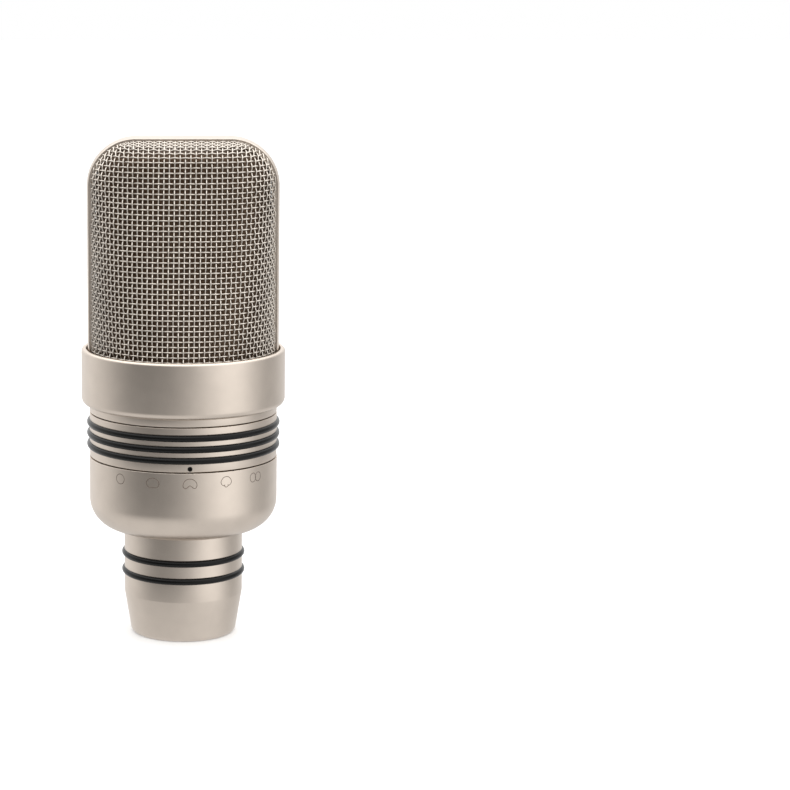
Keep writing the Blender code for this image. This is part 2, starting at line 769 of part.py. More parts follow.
def turned_spring(name, start, length, direction, material):
    """Make a coil spring along a radial direction, as one closed tube."""
    coil_radius = BALL_RADIUS - SPRING_WIRE
    rise = length - 2 * SPRING_WIRE
    bm = bmesh.new()
    count = SPRING_TURNS * SPRING_STEPS
    loops = []
    for step in range(count + 1):
        turn = 2 * math.pi * step / SPRING_STEPS
        centre = Vector(polar(coil_radius, turn, SPRING_WIRE + rise * step / count))
        outward = Vector(polar(1.0, turn))
        loop = []
        for side in range(SPRING_SIDES):
            angle = 2 * math.pi * side / SPRING_SIDES
            offset = outward * math.cos(angle) + Vector((0.0, 0.0, 1.0)) * math.sin(angle)
            loop.append(bm.verts.new(centre + offset * SPRING_WIRE))
        loops.append(loop)
    for first, second in zip(loops, loops[1:]):
        for side in range(SPRING_SIDES):
            follower = (side + 1) % SPRING_SIDES
            bm.faces.new((first[side], first[follower], second[follower], second[side]))
    bm.faces.new(loops[0])
    bm.faces.new(loops[-1])
    spring = add_object(name, bm, material)
    turn = Vector((0.0, 0.0, 1.0)).rotation_difference(Vector(direction)).to_matrix().to_4x4()
    spring.data.transform(turn)
    spring.location = Vector(direction) * start + Vector((0.0, 0.0, INDEX_Z))


def screw_profile(shank, head, length):
    """Return the outline of a pan-head screw whose head ends at +Z."""
    return [
        (0.0, 0.0),
        (shank, 0.0),
        (shank, length),
        (head, length),
        (head, length + SCREW_HEAD_WALL),
        (head - SCREW_HEAD_TAPER, length + SCREW_HEAD_HEIGHT),
        (0.0, length + SCREW_HEAD_HEIGHT),
    ]


def make_neck(materials, chassis):
    """Make the neck ring over the sleeve and the screws that pull it down."""
    bottom = NECK_BOTTOM + HALF_GAP
    recess = SLEEVE_RADIUS + GAP
    neck = turned(
        "neck_ring",
        [
            (recess, 0.0),
            (SELECTOR_RADIUS, 0.0),
            (SELECTOR_RADIUS, NECK_WEB_BOTTOM - bottom),
            (NECK_SEAT_RADIUS, NECK_WEB_BOTTOM - bottom),
            (NECK_SEAT_RADIUS, NECK_TOP - bottom),
            (NECK_BORE, NECK_TOP - bottom),
            (NECK_BORE, NECK_WEB_BOTTOM - bottom),
            (recess, NECK_WEB_BOTTOM - bottom),
        ],
        materials["satin_nickel"],
        bottom,
    )
    length = NECK_TOP - CHASSIS_TOP + SCREW_BITE
    for index in range(NECK_SCREW_COUNT):
        angle = -FRONT + index * 2 * math.pi / NECK_SCREW_COUNT
        x, y, _ = polar(NECK_SCREW_CIRCLE, angle)
        start = (x, y, CHASSIS_TOP - SCREW_BITE)
        profile = screw_profile(SCREW_RADIUS, SCREW_HEAD_RADIUS, length + SCREW_GAP)
        turned_along(f"neck_screw_{index + 1}", profile, materials["steel"], start, (0, 0, 1))
        hole_start = (x, y, CHASSIS_TOP - SCREW_BITE - SCREW_GAP)
        radius = SCREW_RADIUS + SCREW_GAP
        for target, name in ((neck, "neck_hole"), (chassis, "chassis_hole")):
            drill(target, hole_start, (0, 0, 1), radius, length + 2 * GAP, f"{name}_{index + 1}")


def make_boards(materials, chassis):
    """Make the two circuit boards on the rails and their screws."""
    bottom = CHASSIS_WEB_TOP + BOARD_MARGIN
    top = CHASSIS_TOP - CHASSIS_TOP_HEIGHT - BOARD_MARGIN
    near = BOARD_FACE - BOARD_THICKNESS
    far = BOARD_FACE
    bite = RAIL_HALF_DEPTH - BOARD_SCREW_BITE
    for side, label in ((-1, "amplifier"), (1, "supply")):
        ys = sorted((side * near, side * far))
        board = box(
            f"{label}_board",
            (-BOARD_HALF_WIDTH, ys[0], bottom),
            (BOARD_HALF_WIDTH, ys[1], top),
            materials["circuit_board"],
        )
        for index, (x, z) in enumerate(
            (
                (-BOARD_SCREW_X, bottom + BOARD_SCREW_INSET),
                (BOARD_SCREW_X, top - BOARD_SCREW_INSET),
            )
        ):
            profile = screw_profile(BOARD_SCREW_RADIUS, BOARD_SCREW_HEAD, far - bite + SCREW_GAP)
            direction = (0, side, 0)
            turned_along(
                f"{label}_board_screw_{index + 1}",
                profile,
                materials["steel"],
                (x, side * bite, z),
                direction,
            )
            start = (x, side * (bite - SCREW_GAP), z)
            radius = BOARD_SCREW_RADIUS + SCREW_GAP
            for target, name in ((board, "board_hole"), (chassis, "rail_hole")):
                drill(target, start, direction, radius, far - bite + 2 * GAP, f"{label}_{name}_{index + 1}")
    return bottom, top


def make_components(materials, bottom, top):
    """Make the largest components on the two boards."""
    height = top - bottom
    foot = BOARD_FACE + GAP
    for part in COMPONENTS:
        length = part.length * BOARD_HALF_WIDTH
        radius = part.radius * BOARD_HALF_WIDTH
        start = part.middle * BOARD_HALF_WIDTH - length / 2
        origin = (start, part.side * (foot + radius), bottom + height * part.level)
        profile = [(0.0, 0.0), (radius, 0.0), (radius, length), (0.0, length)]
        turned_along(part.name, profile, materials[part.finish], origin, (1, 0, 0))
    across = TRANSISTOR_MIDDLE * BOARD_HALF_WIDTH
    half_width = TRANSISTOR_SHARE * BOARD_HALF_WIDTH
    middle = bottom + height * TRANSISTOR_LEVEL
    box(
        "input_transistor",
        (across - half_width, -foot - TRANSISTOR_DEPTH, middle - half_width),
        (across + half_width, -foot, middle + half_width),
        materials["black_plastic"],
    )


def make_collar(materials):
    """Make the wide collar that the head stands in."""
    outer = COLLAR_RADIUS
    lower_bore = NECK_SEAT_RADIUS + GAP
    lower = COLLAR_LOWER_FILLET
    upper = COLLAR_UPPER_FILLET
    profile = [(lower_bore, 0.0)]
    profile += arc((outer - lower, lower), lower, FRONT, 0.0)
    profile += arc((outer - upper, COLLAR_HEIGHT - upper), upper, 0.0, -FRONT, SMALL_FILLET_STEPS)
    profile += [
        (COLLAR_BORE + COLLAR_INNER_EDGE, COLLAR_HEIGHT),
        (COLLAR_BORE, COLLAR_HEIGHT - COLLAR_INNER_EDGE),
        (COLLAR_BORE, COLLAR_LIP_HEIGHT),
        (lower_bore, COLLAR_LIP_HEIGHT),
    ]
    turned("head_collar", profile, materials["satin_nickel"], COLLAR_BOTTOM)


def make_head_frame(materials):
    """Make the bow over the head: a turned shell milled flat at front and back."""
    height = HEAD_TOP - FRAME_BOTTOM
    corner = FRAME_CORNER
    inner_corner = corner - FRAME_THICKNESS
    centre = (FRAME_RADIUS - corner, height - corner)
    outer_profile = arc(centre, corner, 0.0, -FRONT, CORNER_STEPS)
    inner_profile = arc(centre, inner_corner, -FRONT, 0.0, CORNER_STEPS)
    profile = [(FRAME_BORE, 0.0), (FRAME_RADIUS, 0.0)]
    profile += outer_profile
    profile += [(0.0, height), (0.0, height - FRAME_THICKNESS)]
    profile += inner_profile
    frame = turned("head_frame", profile, materials["satin_nickel"], FRAME_BOTTOM)
    reach = 2 * FRAME_RADIUS
    for side, name in ((-1, "front_window"), (1, "rear_window")):
        ys = sorted((side * FRAME_HALF_DEPTH, side * reach))
        window = box(
            name,
            (-reach, ys[0], FRAME_BOTTOM + FRAME_RING_HEIGHT),
            (reach, ys[1], HEAD_TOP + reach),
            None,
        )
        combine(frame, window, "DIFFERENCE")


def centre_profile():
    """Return the grille's outline over its middle, as (depth, height) from the bottom up.

    It rises straight inside the collar, leans back, turns over a round brow
    and runs up a gently sloping crown to the frame's top edge.
    """
    top = HEAD_TOP - HALF_GAP
    skirt = (GRILLE_DEPTH, GRILLE_BOTTOM + GRILLE_SKIRT)
    back = math.tan(GRILLE_LEAN)
    fall = 1.0 / math.tan(GRILLE_CROWN_ANGLE)
    ridge_depth = (skirt[0] - (top + GRILLE_PLANE * fall - skirt[1]) * back) / (1.0 - fall * back)
    ridge_height = top - (ridge_depth - GRILLE_PLANE) * fall
    reach = GRILLE_BROW_RADIUS * math.tan((GRILLE_CROWN_ANGLE - GRILLE_LEAN) / 2)
    start = (ridge_depth + reach * math.sin(GRILLE_LEAN), ridge_height - reach * math.cos(GRILLE_LEAN))
    centre = (
        start[0] - GRILLE_BROW_RADIUS * math.cos(GRILLE_LEAN),
        start[1] - GRILLE_BROW_RADIUS * math.sin(GRILLE_LEAN),
    )
    points = [(GRILLE_DEPTH, GRILLE_BOTTOM)]
    for step in range(GRILLE_LEAN_STEPS):
        share = step / GRILLE_LEAN_STEPS
        points.append((skirt[0] + (start[0] - skirt[0]) * share, skirt[1] + (start[1] - skirt[1]) * share))
    points += arc(centre, GRILLE_BROW_RADIUS, GRILLE_LEAN, GRILLE_CROWN_ANGLE, GRILLE_BROW_STEPS)
    points.append((GRILLE_PLANE, top))
    return points


def half_width(z, inset):
    """Return the grille's half width at a height, round at the top corners."""
    radius = FRAME_CORNER - GRILLE_EDGE
    limit = GRILLE_HALF_WIDTH - inset
    centre = HEAD_TOP - HALF_GAP - radius
    if z <= centre:
        return limit
    rise = min((z - centre) / radius, 1.0)
    return limit - radius + radius * math.sqrt(1.0 - rise * rise)


def section_depth(share, z, depth):
    """Return how deep a section is at a share of its half width.

    The section is round at the collar, and higher up its front gets flatter
    and its sides steeper. Its ends lie in the grille's edge plane.
    """
    power = 2.0 + min(max((z - COLLAR_TOP) / GRILLE_SQUARING, 0.0), 1.0)
    reach = (1.0 - (GRILLE_PLANE / depth) ** 2) ** (1.0 / power)
    return depth * math.sqrt(1.0 - (share * reach) ** power)


def shell_surface(bm, side, inset, columns):
    """Add one surface of a shell, inset from the grille's outside, as rows of points."""
    points = centre_profile()
    bottom = points[0][1]
    top = points[-1][1]
    squeeze = (top - inset - bottom) / (top - bottom)
    rows = []
    for depth, z in points:
        half = half_width(z, inset)
        inset_depth = max(depth - inset, GRILLE_PLANE)
        row = []
        for column in range(columns + 1):
            share = math.cos(math.pi * column / columns)
            y = section_depth(abs(share), z, inset_depth)
            row.append(bm.verts.new((half * share, side * y, bottom + (z - bottom) * squeeze)))
        rows.append(row)
    return rows


def make_shell(name, side, inset, thickness, columns, material):
    """Make one half of the head's cover as a thin shell, open to its other half."""
    bm = bmesh.new()
    outer = shell_surface(bm, side, inset, columns)
    inner = shell_surface(bm, side, inset + thickness, columns)
    for rows in (outer, inner):
        for lower, upper in zip(rows, rows[1:]):
            for column in range(columns):
                bm.faces.new((lower[column], lower[column + 1], upper[column + 1], upper[column]))
    rims = [(outer[0], inner[0]), (outer[-1], inner[-1])]
    rims += [([row[end] for row in outer], [row[end] for row in inner]) for end in (0, -1)]
    for first, second in rims:
        for index in range(len(first) - 1):
            bm.faces.new((first[index], first[index + 1], second[index + 1], second[index]))
    return add_object(name, bm, material)


def make_grilles(materials):
    """Make the front and rear grilles and the finer gauzes behind them."""
    gauze_inset = GRILLE_THICKNESS + GAP
    for side, label in ((-1, "front"), (1, "rear")):
        make_shell(
            f"{label}_grille", side, 0.0, GRILLE_THICKNESS, GRILLE_COLUMNS, materials["grille_wire"]
        )
        make_shell(
            f"{label}_gauze", side, gauze_inset, GAUZE_THICKNESS, GAUZE_COLUMNS, materials["grille_wire"]
        )


def make_capsule(materials):
    """Make the double-sided capsule with its diaphragms, rings and contacts."""
    half = BACKPLATE_THICKNESS / 2
    radius = CAPSULE_RADIUS
    step = CLAMP_RING_WIDTH
    turned_along(
        "capsule_backplate",
        [
            (0.0, -half),
            (radius, -half),
            (radius, -half / 3),
            (radius - half / 3, 0.0),
            (radius, half / 3),
            (radius, half),
            (0.0, half),
        ],
        materials["brass"],
        (0.0, 0.0, CAPSULE_CENTRE),
        (0, 1, 0),
        CAPSULE_SIDES,
    )
    for side, label in ((-1, "front"), (1, "rear")):
        direction = (0, side, 0)
        film = half + GAP
        ring = film + DIAPHRAGM_THICKNESS + GAP
        turned_along(
            f"{label}_diaphragm",
            [(0.0, 0.0), (radius - GAP, 0.0), (radius - GAP, DIAPHRAGM_THICKNESS), (0.0, DIAPHRAGM_THICKNESS)],
            materials["gold"],
            (0.0, side * film, CAPSULE_CENTRE),
            direction,
            CAPSULE_SIDES,
        )
        turned_along(
            f"{label}_clamp_ring",
            [
                (radius - step, 0.0),
                (radius, 0.0),
                (radius, CLAMP_RING_THICKNESS),
                (radius - step + CLAMP_RING_THICKNESS / 2, CLAMP_RING_THICKNESS),
                (radius - step, CLAMP_RING_THICKNESS / 2),
            ],
            materials["brass"],
            (0.0, side * ring, CAPSULE_CENTRE),
            direction,
            CAPSULE_SIDES,
        )
        turned_along(
            f"{label}_contact_screw",
            [(0.0, 0.0), (CONTACT_RADIUS, 0.0), (CONTACT_RADIUS, CONTACT_HEIGHT), (0.0, CONTACT_HEIGHT)],
            materials["brass"],
            (0.0, side * ring, CAPSULE_CENTRE),
            direction,
        )


def make_capsule_mount(materials):
    """Make the base plate, the rubber isolator and the post with its saddle."""
    plate_radius = FRAME_BORE - GAP
    plate = turned(
        "head_base_plate",
        [
            (0.0, 0.0),
            (plate_radius, 0.0),
            (plate_radius, BASE_PLATE_THICKNESS),
            (0.0, BASE_PLATE_THICKNESS),
        ],
        materials["black_plastic"],
        FRAME_BOTTOM,
    )
    for index in range(NECK_SCREW_COUNT):
        angle = -FRONT + index * 2 * math.pi / NECK_SCREW_COUNT
        x, y, _ = polar(NECK_SCREW_CIRCLE, angle)
        start = (x, y, FRAME_BOTTOM - GAP)
        radius = SCREW_HEAD_RADIUS + SCREW_GAP
        drill(plate, start, (0, 0, 1), radius, BASE_PLATE_THICKNESS + 2 * GAP, f"head_hole_{index + 1}")
    turned(
        "capsule_isolator",
        [(0.0, 0.0), (ISOLATOR_RADIUS, 0.0), (ISOLATOR_RADIUS, ISOLATOR_HEIGHT), (0.0, ISOLATOR_HEIGHT)],
        materials["rubber"],
        ISOLATOR_BOTTOM,
        MIDDLE_SIDES,
    )
    make_post(materials)


def make_post(materials):
    """Make the post whose saddle cradles the capsule's edge."""
    cradle = CAPSULE_RADIUS + GAP
    centre = CAPSULE_CENTRE - POST_BOTTOM
    half_angle = math.asin(SADDLE_HALF_WIDTH / cradle)
    saddle_edge = centre - cradle * math.cos(half_angle)
    outline = [(-POST_HALF_WIDTH, 0.0), (POST_HALF_WIDTH, 0.0)]
    outline += [
        (POST_HALF_WIDTH, centre - cradle - 2 * POST_HALF_WIDTH),
        (SADDLE_HALF_WIDTH, saddle_edge - POST_HALF_WIDTH),
    ]
    outline += arc((0.0, centre), cradle, FRONT + half_angle, FRONT - half_angle, SADDLE_STEPS)
    outline += [
        (-SADDLE_HALF_WIDTH, saddle_edge - POST_HALF_WIDTH),
        (-POST_HALF_WIDTH, centre - cradle - 2 * POST_HALF_WIDTH),
    ]
    prism("capsule_post", outline, POST_HALF_DEPTH, materials["aluminium"], POST_BOTTOM)


def make_selector_axis():
    """Make the empty on the axis that the selector's pieces turn about."""
    axis = bpy.data.objects.new("selector_axis", None)
    bpy.context.collection.objects.link(axis)
    axis.location = (0.0, 0.0, SELECTOR_BOTTOM)
    axis.empty_display_size = SELECTOR_RADIUS
    return axis


def main():
    """Build the microphone from the tail upwards."""
    clear_scene()
    materials = make_materials()
    axis = make_selector_axis()
    make_stem(materials)
    make_stem_rings(materials)
    make_connector(materials)
    make_lower_body(materials)
    chassis = make_chassis(materials)
    make_sleeve(materials)
    make_selector(materials, axis)
    make_grips(materials, axis)
    make_switch(materials, axis)
    make_detent(materials)
    make_neck(materials, chassis)
    bottom, top = make_boards(materials, chassis)
    make_components(materials, bottom, top)
    make_collar(materials)
    make_head_frame(materials)
    make_capsule_mount(materials)
    make_capsule(materials)
    make_grilles(materials)


main()
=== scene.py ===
"""Looks of a side-address studio microphone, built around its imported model.

The microphone stands on its tail, its axis is +Z and its front faces -Y.
Every length is in metres.
"""

import json
import logging
import math
from dataclasses import dataclass, field
from enum import Enum

import bmesh
import bpy
import numpy as np
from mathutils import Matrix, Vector


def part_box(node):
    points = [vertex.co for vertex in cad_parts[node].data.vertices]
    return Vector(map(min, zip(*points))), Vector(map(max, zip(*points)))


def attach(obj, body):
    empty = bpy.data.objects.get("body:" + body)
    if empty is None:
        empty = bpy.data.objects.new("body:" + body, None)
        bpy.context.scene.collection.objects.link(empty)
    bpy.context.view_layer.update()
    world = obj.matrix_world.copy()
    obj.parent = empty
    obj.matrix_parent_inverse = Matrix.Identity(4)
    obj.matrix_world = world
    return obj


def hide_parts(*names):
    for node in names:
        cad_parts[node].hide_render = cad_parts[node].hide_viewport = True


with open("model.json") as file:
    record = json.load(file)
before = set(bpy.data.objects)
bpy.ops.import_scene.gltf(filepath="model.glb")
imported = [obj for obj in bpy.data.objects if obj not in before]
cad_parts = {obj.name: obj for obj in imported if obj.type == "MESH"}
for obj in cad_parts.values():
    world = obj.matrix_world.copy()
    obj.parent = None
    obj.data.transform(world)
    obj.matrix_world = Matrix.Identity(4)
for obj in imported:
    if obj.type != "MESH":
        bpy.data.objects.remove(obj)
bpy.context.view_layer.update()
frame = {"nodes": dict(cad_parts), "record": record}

LOG = logging.getLogger("microphone")
MM = 0.001
FIXED = "microphone"
TURNING = "selector"
FRONT_ANGLE = -math.pi / 2
FINE_SIDES = 224
RING_SIDES = 192
FACE_SIDES = 96
SMALL_SIDES = 48
DRILL_SIDES = 32
FILLET_STEPS = 28
ROUND_STEPS = 24
TIP_STEPS = 6
EDGE_STEPS = 4
HALF_TURN = 180.0
CHART = "weave"
BROAD_GRAIN = 40  # fine grains across one patch of tone
NOISE_RANGE = (0.3, 0.7)  # where nearly all of a noise texture's values lie
MERGE_DISTANCE = 0.0005 * MM
ON_AXIS = 0.01 * MM  # a point nearer the axis than this is on it
AXIS_EDGE = 0.001 * MM  # an edge that lies nearer the axis isn't spun
SHARP_ANGLE = math.radians(40.0)  # an edge that turns more stays sharp
STRAIGHT = math.radians(150.0)  # a corner wider than this is left as it is
SHORT_SIDE = 0.05 * MM  # a corner beside a shorter side is left as it is
SOFT_REACH = 0.4  # most of a side that a rounding takes
SOFT_PULL = 0.59  # how near its corner a rounding's middle lies
BEVEL_SHARE = 0.29  # what a 45 degree turn round an edge takes off it
SHORT_STEP = 0.2  # a grid step shorter than this share is past the form's edge
TINY = 1e-12

Outline = list[tuple[float, float]]
Span = tuple[float, float]
Colour = tuple[float, float, float]
Path = list[Vector]
Material = bpy.types.Material
Piece = bpy.types.Object
Socket = bpy.types.NodeSocket


class Side(Enum):
    """The two faces of the head, by the sign of their Y."""

    FRONT = -1
    REAR = 1

    @property
    def label(self) -> str:
        """Return the side's word in piece names."""
        return self.name.lower()


class Thread(Enum):
    """The two sets of wires in a weave."""

    UPRIGHT = "uprights"
    CROSS = "crosses"


class Pattern(Enum):
    """The engraved pickup patterns, in order round the body."""

    CIRCLE = -2
    WIDE = -1
    HEART = 0
    MUSHROOM = 1
    EIGHT = 2


@dataclass
class Graph:
    """A node tree that is being put together.

    Attributes:
        tree: The tree of a material or of a world.
    """

    tree: bpy.types.NodeTree

    def add(self, kind: str, inputs: dict[str | int, object], **settings: object) -> bpy.types.Node:
        """Add a node.

        Args:
            kind: Its type, without the prefix that all share.
            inputs: What goes into its inputs, as in feed().
            **settings: Properties, set before the inputs.

        Returns:
            The new node.
        """
        node = self.tree.nodes.new("ShaderNode" + kind)
        for name, value in settings.items():
            setattr(node, name, value)
        self.feed(node, inputs)
        return node

    def feed(self, node: bpy.types.Node, inputs: dict[str | int, object]) -> None:
        """Link or set some of a node's inputs.

        Args:
            node: The node.
            inputs: A socket to link or a value to set, by the input's name or number.
        """
        for key, value in inputs.items():
            if isinstance(value, Socket):
                self.tree.links.new(value, node.inputs[key])
            else:
                node.inputs[key].default_value = value

    def stretch(self, value: Socket, source: Span, target: Span = (0.0, 1.0), kind: str = "LINEAR") -> Socket:
        """Map a value from one range to another.

        Args:
            value: The value.
            source: The range that it comes in.
            target: The range that it is mapped to.
            kind: The way between the ends.

        Returns:
            The mapped value.
        """
        inputs = {"Value": value, "From Min": source[0], "From Max": source[1]}
        inputs |= {"To Min": target[0], "To Max": target[1]}
        return self.add("MapRange", inputs, interpolation_type=kind).outputs["Result"]


@dataclass(frozen=True)
class Finish:
    """A surface finish with fine grain, uneven tone and uneven gloss.

    Attributes:
        name: The material's name.
        colour: Base colour, linear.
        roughness: Middle roughness.
        metallic: Metallic value.
        grain: Grain cells per metre.
        relief: Bump height in metres.
        tone_spread: How far the tone varies, as a share.
        gloss_spread: How far the roughness varies.
        specular: Strength of the mirror-like reflection off a non-metal.
    """

    name: str
    colour: Colour
    roughness: float
    metallic: float
    grain: float
    relief: float
    tone_spread: float = 0.06
    gloss_spread: float = 0.05
    specular: float = 0.5

    def build(self) -> Material:
        """Make the material.

        Returns:
            The new material.
        """
        material = bpy.data.materials.new(self.name)
        material.use_nodes = True
        graph = Graph(material.node_tree)
        shader = material.node_tree.nodes["Principled BSDF"]
        place = graph.add("TexCoord", {}).outputs["Object"]
        broad, fine = (
            graph.add("TexNoise", {"Scale": scale, "Detail": detail, "Vector": place}).outputs["Fac"]
            for scale, detail in ((self.grain / BROAD_GRAIN, 3.0), (self.grain, 2.0))
        )
        tone = graph.stretch(broad, NOISE_RANGE, (1.0 - self.tone_spread, 1.0 + self.tone_spread))
        ends = (self.roughness - self.gloss_spread, self.roughness + self.gloss_spread)
        tint = graph.add("VectorMath", {0: self.colour, "Scale": tone}, operation="SCALE")
        bump = graph.add("Bump", {"Distance": self.relief, "Strength": 1.0, "Height": fine})
        inputs = {
            "Metallic": self.metallic,
            "Specular IOR Level": self.specular,
            "Base Color": tint.outputs[0],
            "Roughness": graph.stretch(fine, NOISE_RANGE, ends),
            "Normal": bump.outputs[0],
        }
        graph.feed(shader, inputs)
        self.refine(graph, shader)
        return material

    def refine(self, graph: Graph, shader: bpy.types.Node) -> None:
        """Add what a special finish needs; a plain one needs nothing."""


@dataclass(frozen=True)
class WovenGauze(Finish):
    """A fine woven gauze drawn on a sheet's own map.

    Attributes:
        pitch: Distance between the gauze's wires in metres.
        edge: Height of a wire's wave at which its full colour is reached.
        gap_shade_colour: Painted shade between the wires, standing for the dark inside seen through the
            gauze's openings, linear.
    """

    pitch: float = 0.36 * MM
    edge: float = 0.7
    # Painted shade: the near-black colour between the wires stands for the dark inside seen through the
    # gauze's openings.
    gap_shade_colour: Colour = (0.016, 0.009, 0.005)

    def refine(self, graph: Graph, shader: bpy.types.Node) -> None:
        """Draw the gauze's wires.

        Args:
            graph: The material's nodes.
            shader: Its Principled node.
        """
        chart = graph.add("UVMap", {}, uv_map=CHART).outputs[0]
        split = graph.add("SeparateXYZ", {0: chart}).outputs
        waves = []
        for axis in ("X", "Y"):
            turn = graph.add("Math", {0: split[axis], 1: 2 * math.pi * MM / self.pitch}, operation="MULTIPLY")
            waves.append(graph.add("Math", {0: turn.outputs[0]}, operation="COSINE").outputs[0])
        top = graph.add("Math", {0: waves[0], 1: waves[1]}, operation="MAXIMUM").outputs[0]
        # The gaps between the wires take the painted shade colour.
        inputs = {"A": (*self.gap_shade_colour, 1.0), "B": (*self.colour, 1.0)}
        inputs["Factor"] = graph.stretch(top, (0.0, self.edge))
        mix = graph.add("Mix", inputs, data_type="RGBA")
        graph.feed(shader, {"Base Color": mix.outputs["Result"]})


NICKEL = Finish("satin_nickel", (0.685, 0.603, 0.525), 0.36, 1.0, 9000.0, 0.004 * MM, 0.03)
WIRE = Finish("grille_wire", (0.68, 0.625, 0.56), 0.38, 1.0, 5000.0, 0.003 * MM, 0.08)
RUBBER = Finish("rubber", (0.003, 0.003, 0.003), 0.22, 0.0, 6000.0, 0.004 * MM, 0.2, specular=0.2)
# The dark bronze tone is partly the gauze's own colour and partly painted shade of the dark inside seen
# through the opaque sheet.
GAUZE = WovenGauze("bronze_gauze_inner_shade", (0.135, 0.085, 0.052), 0.5, 0.8, 3000.0, 0.002 * MM)
# Dark brown colour of the engraved pattern lines, which are drawn as tubes sunk into the body.
ENGRAVING_DARK = Finish("engraving_line_dark", (0.10, 0.07, 0.05), 0.6, 0.0, 4000.0, 0.002 * MM, 0.2)
BLACKENED = Finish("blackened_steel", (0.02, 0.02, 0.02), 0.35, 0.8, 6000.0, 0.003 * MM)
FLOOR = Finish("pale_floor", (0.93, 0.93, 0.93), 0.6, 0.0, 400.0, 0.0, 0.005)
INNER_FINISHES = {
    "black_plastic": Finish("black_moulding", (0.02, 0.02, 0.021), 0.5, 0.0, 3000.0, 0.01 * MM),
    "steel": Finish("turned_steel", (0.5, 0.5, 0.5), 0.28, 1.0, 5000.0, 0.003 * MM),
    "brass": Finish("turned_brass", (0.62, 0.42, 0.16), 0.28, 1.0, 5000.0, 0.003 * MM),
    "gold": Finish("gold_plate", (0.85, 0.58, 0.2), 0.22, 1.0, 5000.0, 0.002 * MM),
    "aluminium": Finish("turned_aluminium", (0.6, 0.6, 0.61), 0.4, 1.0, 5000.0, 0.004 * MM),
    "circuit_board": Finish("solder_mask", (0.01, 0.12, 0.04), 0.4, 0.0, 2500.0, 0.01 * MM, 0.2),
    "component": Finish("dipped_lacquer", (0.45, 0.06, 0.02), 0.3, 0.0, 2500.0, 0.02 * MM, 0.15),
}


@dataclass
class Finishes:
    """Every finish on the microphone, made once."""

    nickel: Material = field(init=False)
    wire: Material = field(init=False)
    rubber: Material = field(init=False)
    gauze: Material = field(init=False)
    engraving_dark: Material = field(init=False)
    blackened: Material = field(init=False)
    by_slot: dict[str, Material] = field(init=False)

    def __post_init__(self) -> None:
        """Make the materials."""
        self.nickel = NICKEL.build()
        self.wire = WIRE.build()
        self.rubber = RUBBER.build()
        self.gauze = GAUZE.build()
        self.engraving_dark = ENGRAVING_DARK.build()
        self.blackened = BLACKENED.build()
        self.by_slot = {
            "satin_nickel": self.nickel,
            "grille_wire": self.wire,
            "rubber": self.rubber,
            "black_steel": self.blackened,
        }
        self.by_slot |= {slot: finish.build() for slot, finish in INNER_FINISHES.items()}

    def dress_nodes(self) -> None:
        """Give every carried-over CAD node the finish of its slot."""
        for row in frame["record"]["subparts"]:
            node = frame["nodes"][row["node"]]
            material = self.by_slot[row["material_slot"]]
            for place in node.material_slots:
                place.material = material


def arc(centre: tuple[float, float], radius: float, start: float, end: float, steps: int = 8) -> Outline:
    """Return points on an arc, both ends included.

    Args:
        centre: The arc's centre.
        radius: Its radius.
        start: First angle in radians.
        end: Last angle in radians.
        steps: Number of stretches.

    Returns:
        The points.
    """
    angles = [start + (end - start) * step / steps for step in range(steps + 1)]
    return [(centre[0] + radius * math.cos(a), centre[1] + radius * math.sin(a)) for a in angles]


def polar(radius: float, angle: float, z: float = 0.0) -> Vector:
    """Return the point at a radius, an angle from +X and a height."""
    return Vector((radius * math.cos(angle), radius * math.sin(angle), z))


def softened(outline: Outline, radius: float) -> Outline:
    """Round every corner of a closed outline by the same small radius.

    Args:
        outline: The outline's corners.
        radius: The largest rounding, made smaller where a side is short.

    Returns:
        The rounded outline.
    """
    result: Outline = []
    count = len(outline)
    for index, corner in enumerate(outline):
        before = Vector(outline[index - 1]) - Vector(corner)
        after = Vector(outline[(index + 1) % count]) - Vector(corner)
        turn = before.angle(after, 0.0)
        shorter = min(before.length, after.length)
        if corner[0] < ON_AXIS or turn > STRAIGHT or shorter < SHORT_SIDE:
            result.append(corner)
            continue
        reach = min(radius, SOFT_REACH * shorter)
        first = Vector(corner) + before.normalized() * reach
        last = Vector(corner) + after.normalized() * reach
        middle = (first + last) / 2 * (1 - SOFT_PULL) + Vector(corner) * SOFT_PULL
        result += [tuple(first), tuple(middle), tuple(last)]
    return result


def placed(name: str, data: bpy.types.ID) -> Piece:
    """Return a new object at the origin of the scene."""
    piece = bpy.data.objects.new(name, data)
    bpy.context.collection.objects.link(piece)
    return piece


def finish_piece(name: str, bm: bmesh.types.BMesh, material: Material) -> Piece:
    """Turn a bmesh into a shaded object at the origin.

    Args:
        name: The piece's name.
        bm: The mesh, which is freed.
        material: Its finish.

    Returns:
        The new object.
    """
    bmesh.ops.remove_doubles(bm, verts=bm.verts, dist=MERGE_DISTANCE)
    bmesh.ops.recalc_face_normals(bm, faces=bm.faces)
    mesh = bpy.data.meshes.new(name)
    bm.to_mesh(mesh)
    bm.free()
    mesh.shade_smooth()
    mesh.set_sharp_from_angle(angle=SHARP_ANGLE)
    mesh.materials.append(material)
    return placed(name, mesh)


def turned(name: str, outline: Outline, material: Material, sides: int = FINE_SIDES) -> Piece:
    """Spin a closed (radius, height) outline into a turned piece.

    Args:
        name: The piece's name.
        outline: The outline's points.
        material: Its finish.
        sides: Steps round the axis.

    Returns:
        The new object.
    """
    bm = bmesh.new()
    verts = [bm.verts.new((radius, 0.0, z)) for radius, z in outline]
    edges = []
    for index, vert in enumerate(verts):
        follower = verts[(index + 1) % len(verts)]
        if max(vert.co.x, follower.co.x) > AXIS_EDGE:
            edges.append(bm.edges.new((vert, follower)))
    bmesh.ops.spin(
        bm,
        geom=verts + edges,
        cent=(0.0, 0.0, 0.0),
        axis=(0.0, 0.0, 1.0),
        angle=2 * math.pi,
        steps=sides,
        use_merge=True,
    )
    return finish_piece(name, bm, material)


